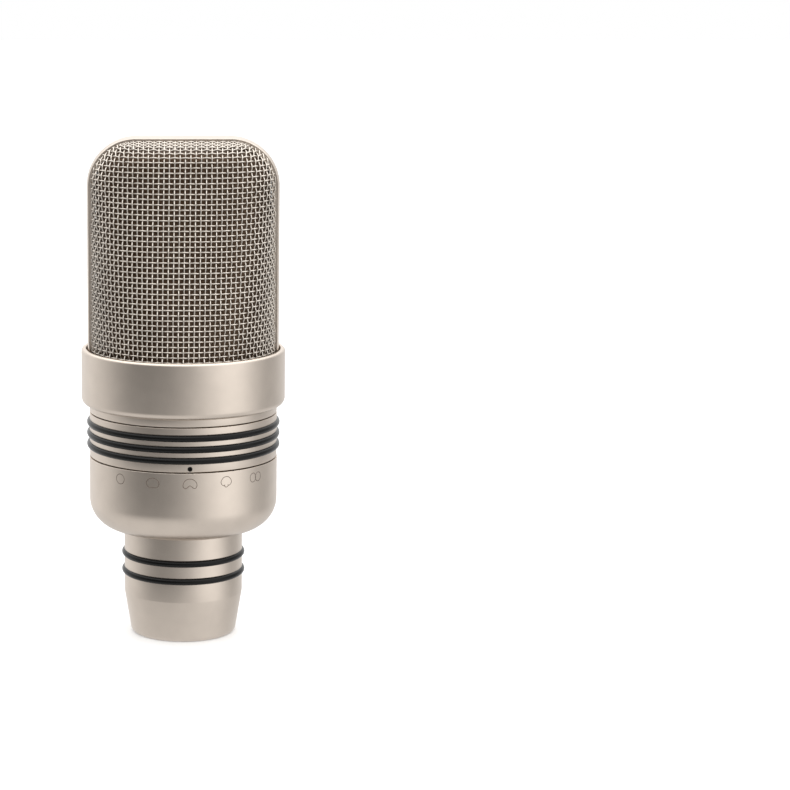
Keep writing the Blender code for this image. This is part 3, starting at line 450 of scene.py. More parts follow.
def place_along(piece: Piece, origin: Vector, direction: Vector) -> None:
    """Turn a piece's mesh from +Z to a direction and move it.

    Args:
        piece: The piece, whose object stays at the origin.
        origin: Where its own origin goes.
        direction: Where its own +Z points.
    """
    turn = Vector((0.0, 0.0, 1.0)).rotation_difference(direction).to_matrix().to_4x4()
    turn.translation = origin
    piece.data.transform(turn)


def wires(name: str, paths: list[Path], radius: float, material: Material, closed: bool = False) -> Piece:
    """Make round wires along paths, as one mesh.

    Args:
        name: The piece's name.
        paths: The points of each wire.
        radius: The wires' radius.
        material: Their finish.
        closed: True where each path is a loop.

    Returns:
        The new object.
    """
    curve = bpy.data.curves.new(name + "_paths", "CURVE")
    curve.dimensions = "3D"
    curve.bevel_depth = radius
    curve.bevel_resolution = 1
    curve.use_fill_caps = not closed
    for path in paths:
        spline = curve.splines.new("POLY")
        spline.points.add(len(path) - 1)
        spline.points.foreach_set("co", [value for point in path for value in (*point, 1.0)])
        spline.use_cyclic_u = closed
    maker = placed(name + "_maker", curve)
    graph = bpy.context.evaluated_depsgraph_get()
    mesh = bpy.data.meshes.new_from_object(maker.evaluated_get(graph))
    mesh.name = name
    bpy.data.objects.remove(maker)
    mesh.shade_smooth()
    mesh.materials.clear()
    mesh.materials.append(material)
    return placed(name, mesh)


def report(piece: Piece, body: str, slot: str, *nodes: str) -> None:
    """Fasten a piece to its body and log it.

    Args:
        piece: The piece.
        body: The body that it moves with.
        slot: The record's material slot; not used.
        nodes: The CAD nodes that it stands for.
    """
    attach(piece, body)
    if nodes:
        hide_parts(*nodes)
    LOG.info("%s rides on %s, %d faces", piece.name, body, len(piece.data.polygons))


def groove(radius: float, floor: float, z: float, half: float) -> Outline:
    """Return a groove's outline from its lower to its upper edge."""
    return [(radius, z - half), (floor, z - half), (floor, z + half), (radius, z + half)]


@dataclass
class RubberRing:
    """A rubber ring of round section, sized from its CAD node.

    Attributes:
        node: The CAD node.
        body: The body that it moves with.
    """

    node: str
    body: str

    @property
    def section(self) -> float:
        """Return the section's diameter."""
        low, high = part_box(self.node)
        return high.z - low.z

    @property
    def centre(self) -> float:
        """Return the radius of the section's centre."""
        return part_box(self.node)[1].x - self.section / 2

    @property
    def height(self) -> float:
        """Return the height of the section's centre."""
        low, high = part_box(self.node)
        return (low.z + high.z) / 2

    def build(self, finishes: Finishes) -> None:
        """Make the ring.

        Args:
            finishes: The finishes.
        """
        section = arc((self.centre, self.height), self.section / 2, 0.0, 2 * math.pi, ROUND_STEPS)[:-1]
        piece = turned(self.node + "_round", section, finishes.rubber, RING_SIDES)
        report(piece, self.body, "rubber", self.node)


@dataclass
class Tail:
    """The tail tube: cone, ring grooves, connector socket and spigot."""

    edge: float = 1.2 * MM
    cone: float = 10.8 * MM
    cone_lean: float = 0.18
    cone_inset: float = 0.03 * MM
    cone_rise: float = 0.1 * MM
    tail_radius: float = 13.55 * MM
    chamfer: float = 0.6 * MM
    socket: float = 9.5 * MM
    depth: float = 15.0 * MM
    bore: float = 10.9 * MM
    spigot: float = 13.7 * MM
    shoulder_gap: float = 0.08 * MM
    soft: float = 0.12 * MM

    def build(self, finishes: Finishes) -> None:
        """Make the tube and its two rubber rings.

        Args:
            finishes: The finishes.
        """
        low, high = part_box("stem")
        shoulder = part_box("lower_body")[0].z - self.shoulder_gap
        radius = high.x
        outline = [(self.socket + self.chamfer, low.z)]
        outline += arc((self.tail_radius - self.edge, self.edge), self.edge, FRONT_ANGLE, -self.cone_lean)
        outline += [(radius - self.cone_inset, self.cone - self.soft), (radius, self.cone + self.cone_rise)]
        for node in ("stem_ring_lower", "stem_ring_upper"):
            ring = RubberRing(node, FIXED)
            half = ring.section / 2 + self.shoulder_gap
            floor = ring.centre - ring.section / 2
            outline += softened(groove(radius, floor, ring.height, half), self.soft)
            ring.build(finishes)
        outline += [
            (radius, shoulder - self.soft),
            (radius - self.soft, shoulder),
            (self.spigot, shoulder),
            (self.spigot, high.z),
            (self.bore, high.z),
            (self.bore, self.depth),
            (self.socket, self.depth),
            (self.socket, self.chamfer),
        ]
        report(turned("tail_tube", outline, finishes.nickel), FIXED, "satin_nickel", "stem")


@dataclass
class Connector:
    """The insert and the pins of the connector in the tail."""

    boss: float = 0.5 * MM
    boss_top: float = 0.35
    boss_foot: float = 0.38
    soft: float = 0.2 * MM
    tip: float = 0.55

    def build(self, finishes: Finishes) -> None:
        """Make the insert with its raised face, and the three pins.

        Args:
            finishes: The finishes.
        """
        low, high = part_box("connector_insert")
        outline = [
            (0.0, low.z - self.boss / 2),
            (high.x * self.boss_top, low.z - self.boss / 2),
            (high.x * self.boss_foot, low.z),
            (high.x, low.z),
            (high.x, high.z),
            (0.0, high.z),
        ]
        plastic = finishes.by_slot["black_plastic"]
        insert = turned("connector_face", softened(outline, self.soft), plastic, FACE_SIDES)
        report(insert, FIXED, "black_plastic", "connector_insert")
        for number in (1, 2, 3):
            self._pin(f"connector_pin_{number}", finishes)

    def _pin(self, node: str, finishes: Finishes) -> None:
        """Make one pin with a domed tip.

        Args:
            node: The CAD node.
            finishes: The finishes.
        """
        low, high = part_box(node)
        radius = (high.x - low.x) / 2
        edge = radius * self.tip
        outline = [(0.0, low.z)]
        outline += arc((radius - edge, low.z + edge), edge, FRONT_ANGLE, 0.0, TIP_STEPS)
        outline += [(radius, high.z), (0.0, high.z)]
        pin = turned(node + "_round", outline, finishes.by_slot["gold"], SMALL_SIDES)
        middle = (low + high) / 2
        place_along(pin, Vector((middle.x, middle.y, 0.0)), Vector((0.0, 0.0, 1.0)))
        report(pin, FIXED, "gold", node)


@dataclass
class LowerBody:
    """The cup under the selector, with the engraved pickup patterns."""

    fillet: float = 7.8 * MM
    floor: float = 2.5 * MM
    top_wall: float = 1.85 * MM
    seat: float = 0.28 * MM
    land: float = 1.2 * MM
    soft: float = 0.1 * MM
    mark_rise: float = 2.55 * MM
    mark_line: float = 0.1 * MM
    mark_sink: float = 0.55
    mark_step: float = math.radians(22.5)
    mark_zero: float = math.radians(4.0)

    def build(self, finishes: Finishes) -> None:
        """Make the cup and its patterns.

        Args:
            finishes: The finishes.
        """
        low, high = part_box("lower_body")
        radius = high.x
        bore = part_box("stem")[1].x - self.land
        foot = low.z - self.seat
        outline = [(bore, foot)]
        centre = (radius - self.fillet, foot + self.fillet)
        outline += arc(centre, self.fillet, FRONT_ANGLE, 0.0, FILLET_STEPS)
        outline += arc((radius - self.soft, high.z - self.soft), self.soft, 0.0, math.pi / 2, EDGE_STEPS)
        outline += [
            (radius - self.top_wall, high.z),
            (radius - self.top_wall, low.z + self.floor),
            (bore, low.z + self.floor),
        ]
        report(turned("body_cup", outline, finishes.nickel), FIXED, "satin_nickel", "lower_body")
        paths = []
        for pattern in Pattern:
            paths += self._pattern(pattern, radius, high.z - self.mark_rise)
        marks = wires("pattern_marks", paths, self.mark_line, finishes.engraving_dark, closed=True)
        report(marks, FIXED, "satin_nickel")

    def _pattern(self, pattern: Pattern, radius: float, z: float) -> list[Path]:
        """Return one pickup pattern's loops, wrapped round the body.

        Args:
            pattern: Which pattern.
            radius: The body's radius.
            z: Height of the pattern's middle.

        Returns:
            The loops of points.
        """
        heading = FRONT_ANGLE + self.mark_zero + pattern.value * self.mark_step
        depth = radius - self.mark_sink * self.mark_line
        loops = []
        for loop in pattern_loops(pattern):
            middle = (min(y for _, y in loop) + max(y for _, y in loop)) / 2
            loops.append([polar(depth, heading + x / radius, z + y - middle) for x, y in loop])
        return loops


def smooth_loop(half: Outline, steps: int = 6) -> Outline:
    """Return a smooth closed loop through one half's points and their mirror image.

    Args:
        half: Points in millimetres from the top middle to the bottom middle.
        steps: Points per span.

    Returns:
        The loop in metres, as (across, up) points.
    """
    knots = [Vector(point) for point in half]
    knots += [Vector((-point.x, point.y)) for point in knots[-2:0:-1]]
    count = len(knots)
    loop = []
    for index in range(count):
        before, start, end, after = (knots[(index + offset) % count] for offset in (-1, 0, 1, 2))
        for step in range(steps):
            t = step / steps
            point = 0.5 * (
                2 * start
                + (end - before) * t
                + (2 * before - 5 * start + 4 * end - after) * t**2
                + (3 * start - before - 3 * end + after) * t**3
            )
            loop.append((point.x * MM, point.y * MM))
    return loop


def ellipse(centre: float, width: float, height: float, steps: int = 48) -> Outline:
    """Return an ellipse in metres from its middle and two radii in millimetres.

    Args:
        centre: Its middle across.
        width: Radius across.
        height: Radius upwards.
        steps: Number of points.

    Returns:
        The loop, as (across, up) points.
    """
    turns = [2 * math.pi * step / steps for step in range(steps)]
    return [((centre + width * math.cos(t)) * MM, height * math.sin(t) * MM) for t in turns]


def pattern_loops(pattern: Pattern) -> list[Outline]:
    """Return a pickup pattern as flat loops in metres.

    Args:
        pattern: Which pattern.

    Returns:
        The loops, each a list of (across, up) points.
    """
    if pattern is Pattern.CIRCLE:
        return [ellipse(0.0, 1.3, 1.27)]
    if pattern is Pattern.EIGHT:
        return [ellipse(side * 0.98, 1.05, 1.15) for side in (-1, 1)]
    halves = {
        Pattern.WIDE: [
            *((0, 1.2), (0.9, 1.0), (1.55, 0.35), (1.6, -0.45), (1.15, -1.05), (0.4, -1.15), (0, -1.15)),
        ],
        Pattern.HEART: [
            *((0, 1.22), (0.85, 1.02), (1.5, 0.4), (1.75, -0.4), (1.55, -1.0)),
            *((1.1, -1.2), (0.65, -0.95), (0.3, -0.62), (0, -0.5)),
        ],
        Pattern.MUSHROOM: [
            *((0, 1.32), (0.7, 1.15), (1.25, 0.6), (1.46, -0.05), (1.2, -0.65)),
            *((0.75, -0.92), (0.42, -0.78), (0.5, -1.0), (0.3, -1.25), (0, -1.33)),
        ],
    }
    return [smooth_loop(halves[pattern])]


@dataclass
class Selector:
    """The turning ring with its grips, index hole and sunk screw."""

    bore: float = 21.5 * MM
    soft: float = 0.12 * MM
    groove_gap: float = 0.05 * MM
    hole: float = 0.62 * MM
    overrun: float = 2.0 * MM
    sink: float = 0.1 * MM
    socket: float = 0.26 * MM
    socket_mouth: float = 1.3
    socket_edge: float = 0.1 * MM
    socket_depth: float = 0.6 * MM
    socket_point: float = 0.7 * MM
    grips: tuple[str, ...] = ("grip_ring_lower", "grip_ring_middle", "grip_ring_upper")

    def build(self, finishes: Finishes) -> None:
        """Make the ring, its grips and its screw.

        Args:
            finishes: The finishes.
        """
        low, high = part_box("selector_ring")
        radius = high.x
        outline = [(self.bore, low.z)]
        outline += arc((radius - self.soft, low.z + self.soft), self.soft, FRONT_ANGLE, 0.0, EDGE_STEPS)
        for node in self.grips:
            grip = RubberRing(node, TURNING)
            half = grip.section / 2 + self.groove_gap
            floor = grip.centre - grip.section / 2
            outline += softened(groove(radius, floor, grip.height, half), self.soft)
            grip.build(finishes)
        outline += arc((radius - self.soft, high.z - self.soft), self.soft, 0.0, math.pi / 2, EDGE_STEPS)
        outline.append((self.bore, high.z))
        ring = turned("selector_band", outline, finishes.nickel)
        heading = self._heading()
        self._drill(ring, heading, radius)
        report(ring, TURNING, "satin_nickel", "selector_ring")
        self._screw(heading, finishes)

    @staticmethod
    def _heading() -> Vector:
        """Return the direction of the index screw from the axis."""
        low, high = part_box("index_screw")
        middle = (low + high) / 2
        return Vector((middle.x, middle.y, 0.0)).normalized()

    @staticmethod
    def _height() -> float:
        """Return the height of the index screw."""
        low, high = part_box("index_screw")
        return (low.z + high.z) / 2

    def _drill(self, ring: Piece, heading: Vector, radius: float) -> None:
        """Cut the index hole through the ring.

        Args:
            ring: The ring.
            heading: The hole's direction.
            radius: The ring's radius.
        """
        bm = bmesh.new()
        depth = radius - self.bore + self.overrun
        bmesh.ops.create_cone(
            bm, cap_ends=True, segments=DRILL_SIDES, radius1=self.hole, radius2=self.hole, depth=depth
        )
        mesh = bpy.data.meshes.new("index_drill")
        bm.to_mesh(mesh)
        bm.free()
        drill = placed("index_drill", mesh)
        place_along(drill, heading * (radius + self.bore) / 2 + Vector((0.0, 0.0, self._height())), heading)
        cut = ring.modifiers.new("index_hole", "BOOLEAN")
        cut.object = drill
        cut.operation = "DIFFERENCE"
        cut.solver = "EXACT"
        graph = bpy.context.evaluated_depsgraph_get()
        drilled = bpy.data.meshes.new_from_object(ring.evaluated_get(graph))
        ring.modifiers.clear()
        ring.data = drilled
        bpy.data.objects.remove(drill)

    def _screw(self, heading: Vector, finishes: Finishes) -> None:
        """Make the sunk screw with a socket in its outer end.

        Args:
            heading: The screw's direction.
            finishes: The finishes.
        """
        low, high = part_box("index_screw")
        radius = (high.z - low.z) / 2
        corners = [Vector((x, y, 0.0)) for x in (low.x, high.x) for y in (low.y, high.y)]
        reach = max(corner.length for corner in corners) - self.sink
        start = min(corner.length for corner in corners)
        length = reach - start
        outline = [
            (0.0, 0.0),
            (radius, 0.0),
            (radius, length),
            (self.socket * self.socket_mouth, length),
            (self.socket, length - self.socket_edge),
            (self.socket, length - self.socket_depth),
            (0.0, length - self.socket_point),
        ]
        screw = turned("index_grub_screw", outline, finishes.blackened, ROUND_STEPS)
        place_along(screw, heading * start + Vector((0.0, 0.0, self._height())), heading)
        report(screw, TURNING, "black_steel", "index_screw")


@dataclass
class Neck:
    """The fixed ring between the selector and the collar."""

    web: float = 1.5 * MM
    bore: float = 12.0 * MM
    recess: float = 21.7 * MM
    soft: float = 0.12 * MM

    def build(self, finishes: Finishes) -> None:
        """Make the ring.

        Args:
            finishes: The finishes.
        """
        low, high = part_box("neck_ring")
        outline = [
            (self.recess, low.z),
            (high.x, low.z),
            (high.x, high.z),
            (self.bore, high.z),
            (self.bore, high.z - self.web),
            (self.recess, high.z - self.web),
        ]
        neck = turned("neck_band", softened(outline, self.soft), finishes.nickel)
        report(neck, FIXED, "satin_nickel", "neck_ring")


@dataclass
class Collar:
    """The wide collar that the head stands in."""

    lower_fillet: float = 1.75 * MM
    upper_fillet: float = 0.8 * MM
    wall: float = 1.25 * MM
    lip: float = 1.8 * MM
    lip_bore: float = 24.05 * MM
    inner_edge: float = 0.22 * MM
    steps: tuple[int, int, int] = (12, 10, 5)

    def build(self, finishes: Finishes) -> None:
        """Make the collar.

        Args:
            finishes: The finishes.
        """
        low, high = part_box("head_collar")
        radius = high.x
        outline = [(self.lip_bore, low.z)]
        foot, brim, edge = self.lower_fillet, self.upper_fillet, self.inner_edge
        outline += arc((radius - foot, low.z + foot), foot, FRONT_ANGLE, 0.0, self.steps[0])
        outline += arc((radius - brim, high.z - brim), brim, 0.0, math.pi / 2, self.steps[1])
        bore = radius - self.wall
        outline += arc((bore + edge, high.z - edge), edge, math.pi / 2, math.pi, self.steps[2])
        outline += [(bore, low.z + self.lip), (self.lip_bore, low.z + self.lip)]
        report(turned("collar_band", outline, finishes.nickel), FIXED, "satin_nickel", "head_collar")


@dataclass
class HeadFrame:
    """The bow over the head and the ring that it grows from."""

    corner: float = 12.0 * MM
    thickness: float = 1.95 * MM
    half_depth: float = 4.85 * MM
    ring_height: float = 3.7 * MM
    edge: float = 0.12 * MM
    lip: float = 0.05 * MM
    rebate: float = 0.95 * MM
    flange: float = 0.45 * MM
    corner_steps: int = 24
    crown_steps: int = 8

    def build(self, finishes: Finishes) -> None:
        """Make the bow and the ring.

        Args:
            finishes: The finishes.
        """
        low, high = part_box("head_frame")
        bm = bmesh.new()
        loops = []
        for point, outward, crown in self._path(high.x, low.z, high.z):
            loop = []
            for y, offset in self._section(high.x, crown):
                place = point + outward * offset
                loop.append(bm.verts.new((place.x, y, place.z)))
            loops.append(loop)
        for first, second in zip(loops, loops[1:]):
            for index in range(len(first)):
                after = (index + 1) % len(first)
                bm.faces.new((first[index], first[after], second[after], second[index]))
        bm.faces.new(loops[0])
        bm.faces.new(loops[-1])
        bow = finish_piece("head_bow", bm, finishes.nickel)
        report(bow, FIXED, "satin_nickel", "head_frame")
        bore = high.x - self.thickness
        outline = [
            (bore, low.z),
            (high.x, low.z),
            (high.x, low.z + self.ring_height),
            (bore, low.z + self.ring_height),
        ]
        ring = turned("head_bow_ring", softened(outline, self.edge), finishes.nickel)
        report(ring, FIXED, "satin_nickel")

    def _path(self, radius: float, low: float, high: float) -> list[tuple[Vector, Vector, float]]:
        """Return the bow's outer line, from its right foot over the top.

        Args:
            radius: The bow's radius.
            low: Height of its feet.
            high: Height of its top.

        Returns:
            Each station's point, its outward direction and how crowned it is.
        """
        stations = [(Vector((radius, 0.0, low)), Vector((1.0, 0.0, 0.0)), 1.0)]
        half = []
        for step in range(self.corner_steps + 1):
            angle = math.pi / 2 * step / self.corner_steps
            outward = Vector((math.cos(angle), 0.0, math.sin(angle)))
            centre = Vector((radius - self.corner, 0.0, high - self.corner))
            half.append((centre + outward * self.corner, outward, math.cos(angle)))
        stations += half
        for point, outward, crown in stations[::-1]:
            mirrored = Vector((-point.x, 0.0, point.z))
            stations.append((mirrored, Vector((-outward.x, 0.0, outward.z)), crown))
        return stations

    def _section(self, radius: float, crown: float) -> Outline:
        """Return the bow's section as (depth, outward offset) points.

        Args:
            radius: The bow's radius, which the crown follows.
            crown: 1 where the outer face is round, 0 where it is flat.

        Returns:
            The closed section.
        """
        points: Outline = []
        inner = self.half_depth - self.edge
        core = self.half_depth - self.rebate
        for step in range(self.crown_steps + 1):
            y = -inner + 2 * inner * step / self.crown_steps
            points.append((y, crown * (math.sqrt(radius**2 - y**2) - radius)))
        drop = crown * (math.sqrt(radius**2 - self.half_depth**2) - radius) - self.edge
        bevel = BEVEL_SHARE * self.edge
        edge = [
            (self.half_depth - bevel, drop + self.edge - bevel),
            (self.half_depth, drop),
            (self.half_depth, drop - self.lip),
            (core, drop - self.lip),
            (core, -self.thickness + self.flange),
            (self.half_depth, -self.thickness + self.flange),
            (self.half_depth, -self.thickness),
        ]
        points += edge
        points += [(-y, offset) for y, offset in edge[::-1]]
        return points


@dataclass
class HeadForm:
    """The curved form that the grilles are pressed to.

    Over its middle it rises straight inside the collar, leans back, turns over
    a round brow and runs up a gently sloping crown to the bow.

    Attributes:
        inset: How far inside the grille's outer face the form lies.
        skirt: Height of the straight stretch inside the collar.
        lean: Lean of the front above the collar.
        crown: Lean of the crown.
        brow: Radius of the brow.
        knee: Radius of the bend above the collar.
        corner: Radius of the top corners seen from the front.
        squaring: Height over which the section goes from round to flat-fronted.
        rise: How much the rows climb towards the sides.
        fade: Height under the top over which that climb fades out.
        plane: Distance of the form's edge from the bow's middle plane.
        least_depth: Least depth of a row in front of that edge.
        top_slot: Gap between the form and the bow's top.
        side_slot: Gap between the form and the bow's sides.
    """

    inset: float
    skirt: float = 6.2 * MM
    lean: float = math.radians(11.5)
    crown: float = math.radians(80.0)
    brow: float = 5.0 * MM
    knee: float = 14.0 * MM
    corner: float = 11.25 * MM
    squaring: float = 26.0 * MM
    rise: float = 0.008
    fade: float = 14.0 * MM
    plane: float = 4.9 * MM
    least_depth: float = 0.02 * MM
    top_slot: float = 0.28 * MM
    side_slot: float = 0.22 * MM

    def __post_init__(self) -> None:
        """Read the grille's box and lay out the centre line."""
        low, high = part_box("front_grille")
        self.bottom = low.z
        self.top = high.z - self.top_slot
        self.half = high.x - self.side_slot
        self.depth = -low.y
        self.collar_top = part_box("head_collar")[1].z
        self.line = self._centre_line()
        steps = np.hypot(*np.diff(self.line, axis=0).T)
        self.lengths = np.concatenate(([0.0], np.cumsum(steps)))

    @property
    def length(self) -> float:
        """Return the length of the centre line."""
        return float(self.lengths[-1])

    def _centre_line(self) -> np.ndarray:
        """Return the centre line as (depth, height) rows, from the bottom up."""
        skirt = (self.depth, self.bottom + self.skirt)
        back = math.tan(self.lean)
        fall = 1.0 / math.tan(self.crown)
        ridge_depth = (skirt[0] - (self.top + self.plane * fall - skirt[1]) * back) / (1.0 - fall * back)
        ridge_height = self.top - (ridge_depth - self.plane) * fall
        reach = self.brow * math.tan((self.crown - self.lean) / 2)
        start = (ridge_depth + reach * math.sin(self.lean), ridge_height - reach * math.cos(self.lean))
        centre = (start[0] - self.brow * math.cos(self.lean), start[1] - self.brow * math.sin(self.lean))
        points = [(self.depth, self.bottom)]
        bend = (skirt[0] - self.knee, skirt[1] - self.knee * math.tan(self.lean / 2))
        points += arc(bend, self.knee, 0.0, self.lean)
        points += arc(centre, self.brow, self.lean, self.crown, ROUND_STEPS)
        points.append((self.plane, self.top))
        return np.array(points)

    def _half_width(self, z: float) -> float:
        """Return the half width at a height, round at the top corners."""
        centre = self.top - self.corner
        if z <= centre:
            return self.half
        share = min((z - centre) / self.corner, 1.0)
        return self.half - self.corner + self.corner * math.sqrt(1.0 - share * share)

    def row(self, along: float, count: int = 81) -> tuple[np.ndarray, np.ndarray]:
        """Return half a row of the form, from its middle to the bow.

        Args:
            along: Distance up the centre line.
            count: Number of points.

        Returns:
            The points, and their distances along the row.
        """
        depth = float(np.interp(along, self.lengths, self.line[:, 0]))
        z = float(np.interp(along, self.lengths, self.line[:, 1]))
        half = self._half_width(z)
        share = np.sin(np.linspace(0.0, math.pi / 2, count))
        power = 2.0 + min(max((z - self.collar_top) / self.squaring, 0.0), 1.0)
        deep = max(depth, self.plane + self.least_depth)
        reach = (1.0 - (self.plane / deep) ** 2) ** (1.0 / power)
        y = deep * np.sqrt(1.0 - (share * reach) ** power)
        fading = min((self.top - z) / self.fade, 1.0)
        climb = self.rise * (z - self.bottom) * fading * share**2
        points = np.column_stack((half * share, -y, np.full(count, z) + climb))
        lengths = np.concatenate(([0.0], np.cumsum(np.linalg.norm(np.diff(points, axis=0), axis=1))))
        return points, lengths


@dataclass
class Lattice:
    """Points of half the head form on a square grid, as a draped weave lies.

    Attributes:
        form: The form.
        step: Distance between grid points.
        first: Distance up the form of the first row.
    """

    form: HeadForm
    step: float
    first: float = 0.0

    def __post_init__(self) -> None:
        """Work out the grid's points and outward normals."""
        form = self.form
        self.rows = int((form.length - self.first) / self.step) + 1
        rows = [form.row(self.along(index)) for index in range(self.rows)]
        self.reach = np.array([lengths[-1] for _, lengths in rows])
        self.columns = int(self.reach.max() / self.step) + 2
        self.points = np.zeros((self.rows, self.columns, 3))
        across = np.arange(self.columns) * self.step
        for index, (points, lengths) in enumerate(rows):
            for axis in range(3):
                self.points[index, :, axis] = np.interp(across, lengths, points[:, axis])
        self.normals = self._normals()
        self.points = self.points - self.normals * form.inset

    def along(self, row: int) -> float:
        """Return a row's distance up the form."""
        return self.first + row * self.step

    def sample(self, row: int, across: float, lift: float) -> np.ndarray:
        """Return a point of one row, lifted along the form's normal.

        Args:
            row: Grid row.
            across: Signed distance from the middle along the row.
            lift: Height above the form.

        Returns:
            The point, on the front face.
        """
        place = abs(across) / self.step
        column = min(int(place), self.columns - 2)
        share = min(place - column, 1.0)
        ends = self.points[row, column : column + 2] + self.normals[row, column : column + 2] * lift
        point = ends[0] * (1.0 - share) + ends[1] * share
        return point * (math.copysign(1.0, across), 1.0, 1.0)

    def _normals(self) -> np.ndarray:
        """Return the outward unit normals of the grid."""
        mirrored = np.concatenate((self.points[:, 1:2] * (-1, 1, 1), self.points), axis=1)
        across = np.gradient(mirrored, axis=1)[:, 1:]
        edge = np.linalg.norm(across, axis=2) < self.step * SHORT_STEP
        for row in range(self.rows):
            good = np.flatnonzero(~edge[row])
            across[row, edge[row]] = across[row, good[-2] if len(good) > 1 else good[-1]]
        along = np.gradient(self.points, axis=0)
        normals = np.cross(across, along)
        size = np.linalg.norm(normals, axis=2, keepdims=True)
        return normals / np.maximum(size, TINY)


@dataclass
class Grille:
    """A plain square weave of round wires over one face of the head.

    Attributes:
        side: Which face.
        pitch: Distance between uprights.
        row_pitch: Distance between cross wires.
        wire: Radius of the wire.
        crimp: How far a wire swings in and out, as a share of its radius.
        drift: How far the uprights lean, as a share of their length.
        first: Distance up the form of the first cross wire.
        fineness: Grid points per pitch.
    """

    side: Side
    pitch: float = 1.32 * MM
    row_pitch: float = 1.3035 * MM
    wire: float = 0.182 * MM
    crimp: float = 1.0
    drift: float = 0.011
    first: float = 0.249 * MM
    fineness: int = 4

    def build(self, finishes: Finishes) -> None:
        """Make both sets of wires.

        Args:
            finishes: The finishes.
        """
        form = HeadForm(inset=(1.0 + self.crimp) * self.wire)
        lattice = Lattice(form, self.row_pitch / self.fineness, self.first)
        for thread in Thread:
            paths = self._uprights(lattice) if thread is Thread.UPRIGHT else self._crosses(lattice)
            piece = wires(f"{self.side.label}_mesh_{thread.value}", paths, self.wire, finishes.wire)
            nodes = (f"{self.side.label}_grille",) if thread is Thread.UPRIGHT else ()
            report(piece, FIXED, "grille_wire", *nodes)

    def _place(self, lattice: Lattice, row: int, across: float, turn: float) -> Vector:
        """Return a wire's point on this face.

        Args:
            lattice: The grid.
            row: Grid row.
            across: Signed distance from the middle.
            turn: Half turns of the wire's swing, even where it is outermost.

        Returns:
            The point.
        """
        lift = self.crimp * self.wire * math.cos(math.pi * turn)
        x, y, z = lattice.sample(row, across, lift)
        return Vector((x, -self.side.value * y, z))

    def _sag(self, lattice: Lattice, row: int) -> float:
        """Return how far the uprights have drifted at a row."""
        return self.drift * (lattice.form.length - lattice.along(row))

    def _uprights(self, lattice: Lattice) -> list[Path]:
        """Return the paths of the wires that run up the face."""
        paths = []
        count = lattice.columns // self.fineness + 2
        for index in range(-count, count):
            path: Path = []
            for row in range(lattice.rows):
                across = (index + 0.5) * self.pitch - self._sag(lattice, row)
                if abs(across) <= lattice.reach[row]:
                    path.append(self._place(lattice, row, across, row / self.fineness + index))
                elif path:
                    paths.append(path)
                    path = []
            paths.append(path)
        return [path for path in paths if len(path) > 1]

    def _crosses(self, lattice: Lattice) -> list[Path]:
        """Return the paths of the wires that run across the face."""
        paths = []
        for row in range(0, lattice.rows, self.fineness):
            reach = lattice.reach[row]
            count = max(2, round(2 * reach / lattice.step))
            sag = self._sag(lattice, row)
            path = []
            for place in range(count + 1):
                across = -reach + 2 * reach * place / count
                turn = (across + sag) / self.pitch + 0.5 + row / self.fineness
                path.append(self._place(lattice, row, across, turn))
            paths.append(path)
        return paths


# The sheet is opaque, so its colour paints the shade of the inside that would show through a real gauze.
@dataclass
class Gauze:
    """The finer gauze behind a grille, as one thin sheet with its own map."""

    side: Side
    depth: float = 1.45 * MM
    step: float = 0.9 * MM
    thickness: float = 0.1 * MM

    def build(self, finishes: Finishes) -> None:
        """Make the sheet.

        Args:
            finishes: The finishes.
        """
        lattice = Lattice(HeadForm(inset=self.depth), self.step)
        bm = bmesh.new()
        chart = bm.loops.layers.uv.new(CHART)
        grid = {}
        for row in range(lattice.rows):
            last = min(int(lattice.reach[row] / lattice.step) + 1, lattice.columns - 1)
            for column in range(-last, last + 1):
                place = lattice.points[row, abs(column)]
                x = math.copysign(place[0], column) if column else 0.0
                vert = bm.verts.new((x, -self.side.value * place[1], place[2]))
                grid[row, column] = vert
        for row, column in list(grid):
            keys = ((row, column), (row, column + 1), (row + 1, column + 1), (row + 1, column))
            if all(key in grid for key in keys):
                face = bm.faces.new([grid[key] for key in keys])
                for loop, key in zip(face.loops, keys):
                    loop[chart].uv = (key[1] * lattice.step / MM, key[0] * lattice.step / MM)
        bmesh.ops.delete(bm, geom=[v for v in bm.verts if not v.link_faces], context="VERTS")
        mesh = bpy.data.meshes.new(f"{self.side.label}_gauze_sheet")
        if self.side is Side.REAR:
            bmesh.ops.reverse_faces(bm, faces=bm.faces)
        bm.to_mesh(mesh)
        bm.free()
        mesh.shade_smooth()
        mesh.materials.append(finishes.gauze)
        sheet = placed(mesh.name, mesh)
        wall = sheet.modifiers.new("wall", "SOLIDIFY")
        wall.thickness = self.thickness
        wall.offset = -1.0
        report(sheet, FIXED, "grille_wire", f"{self.side.label}_gauze")


@dataclass(frozen=True)
class Glow:
    """How bright the studio is in one direction round the object.

    Attributes:
        angle: Degrees round the axis from the camera, positive to the right.
        level: Brightness there.
    """

    angle: float
    level: float


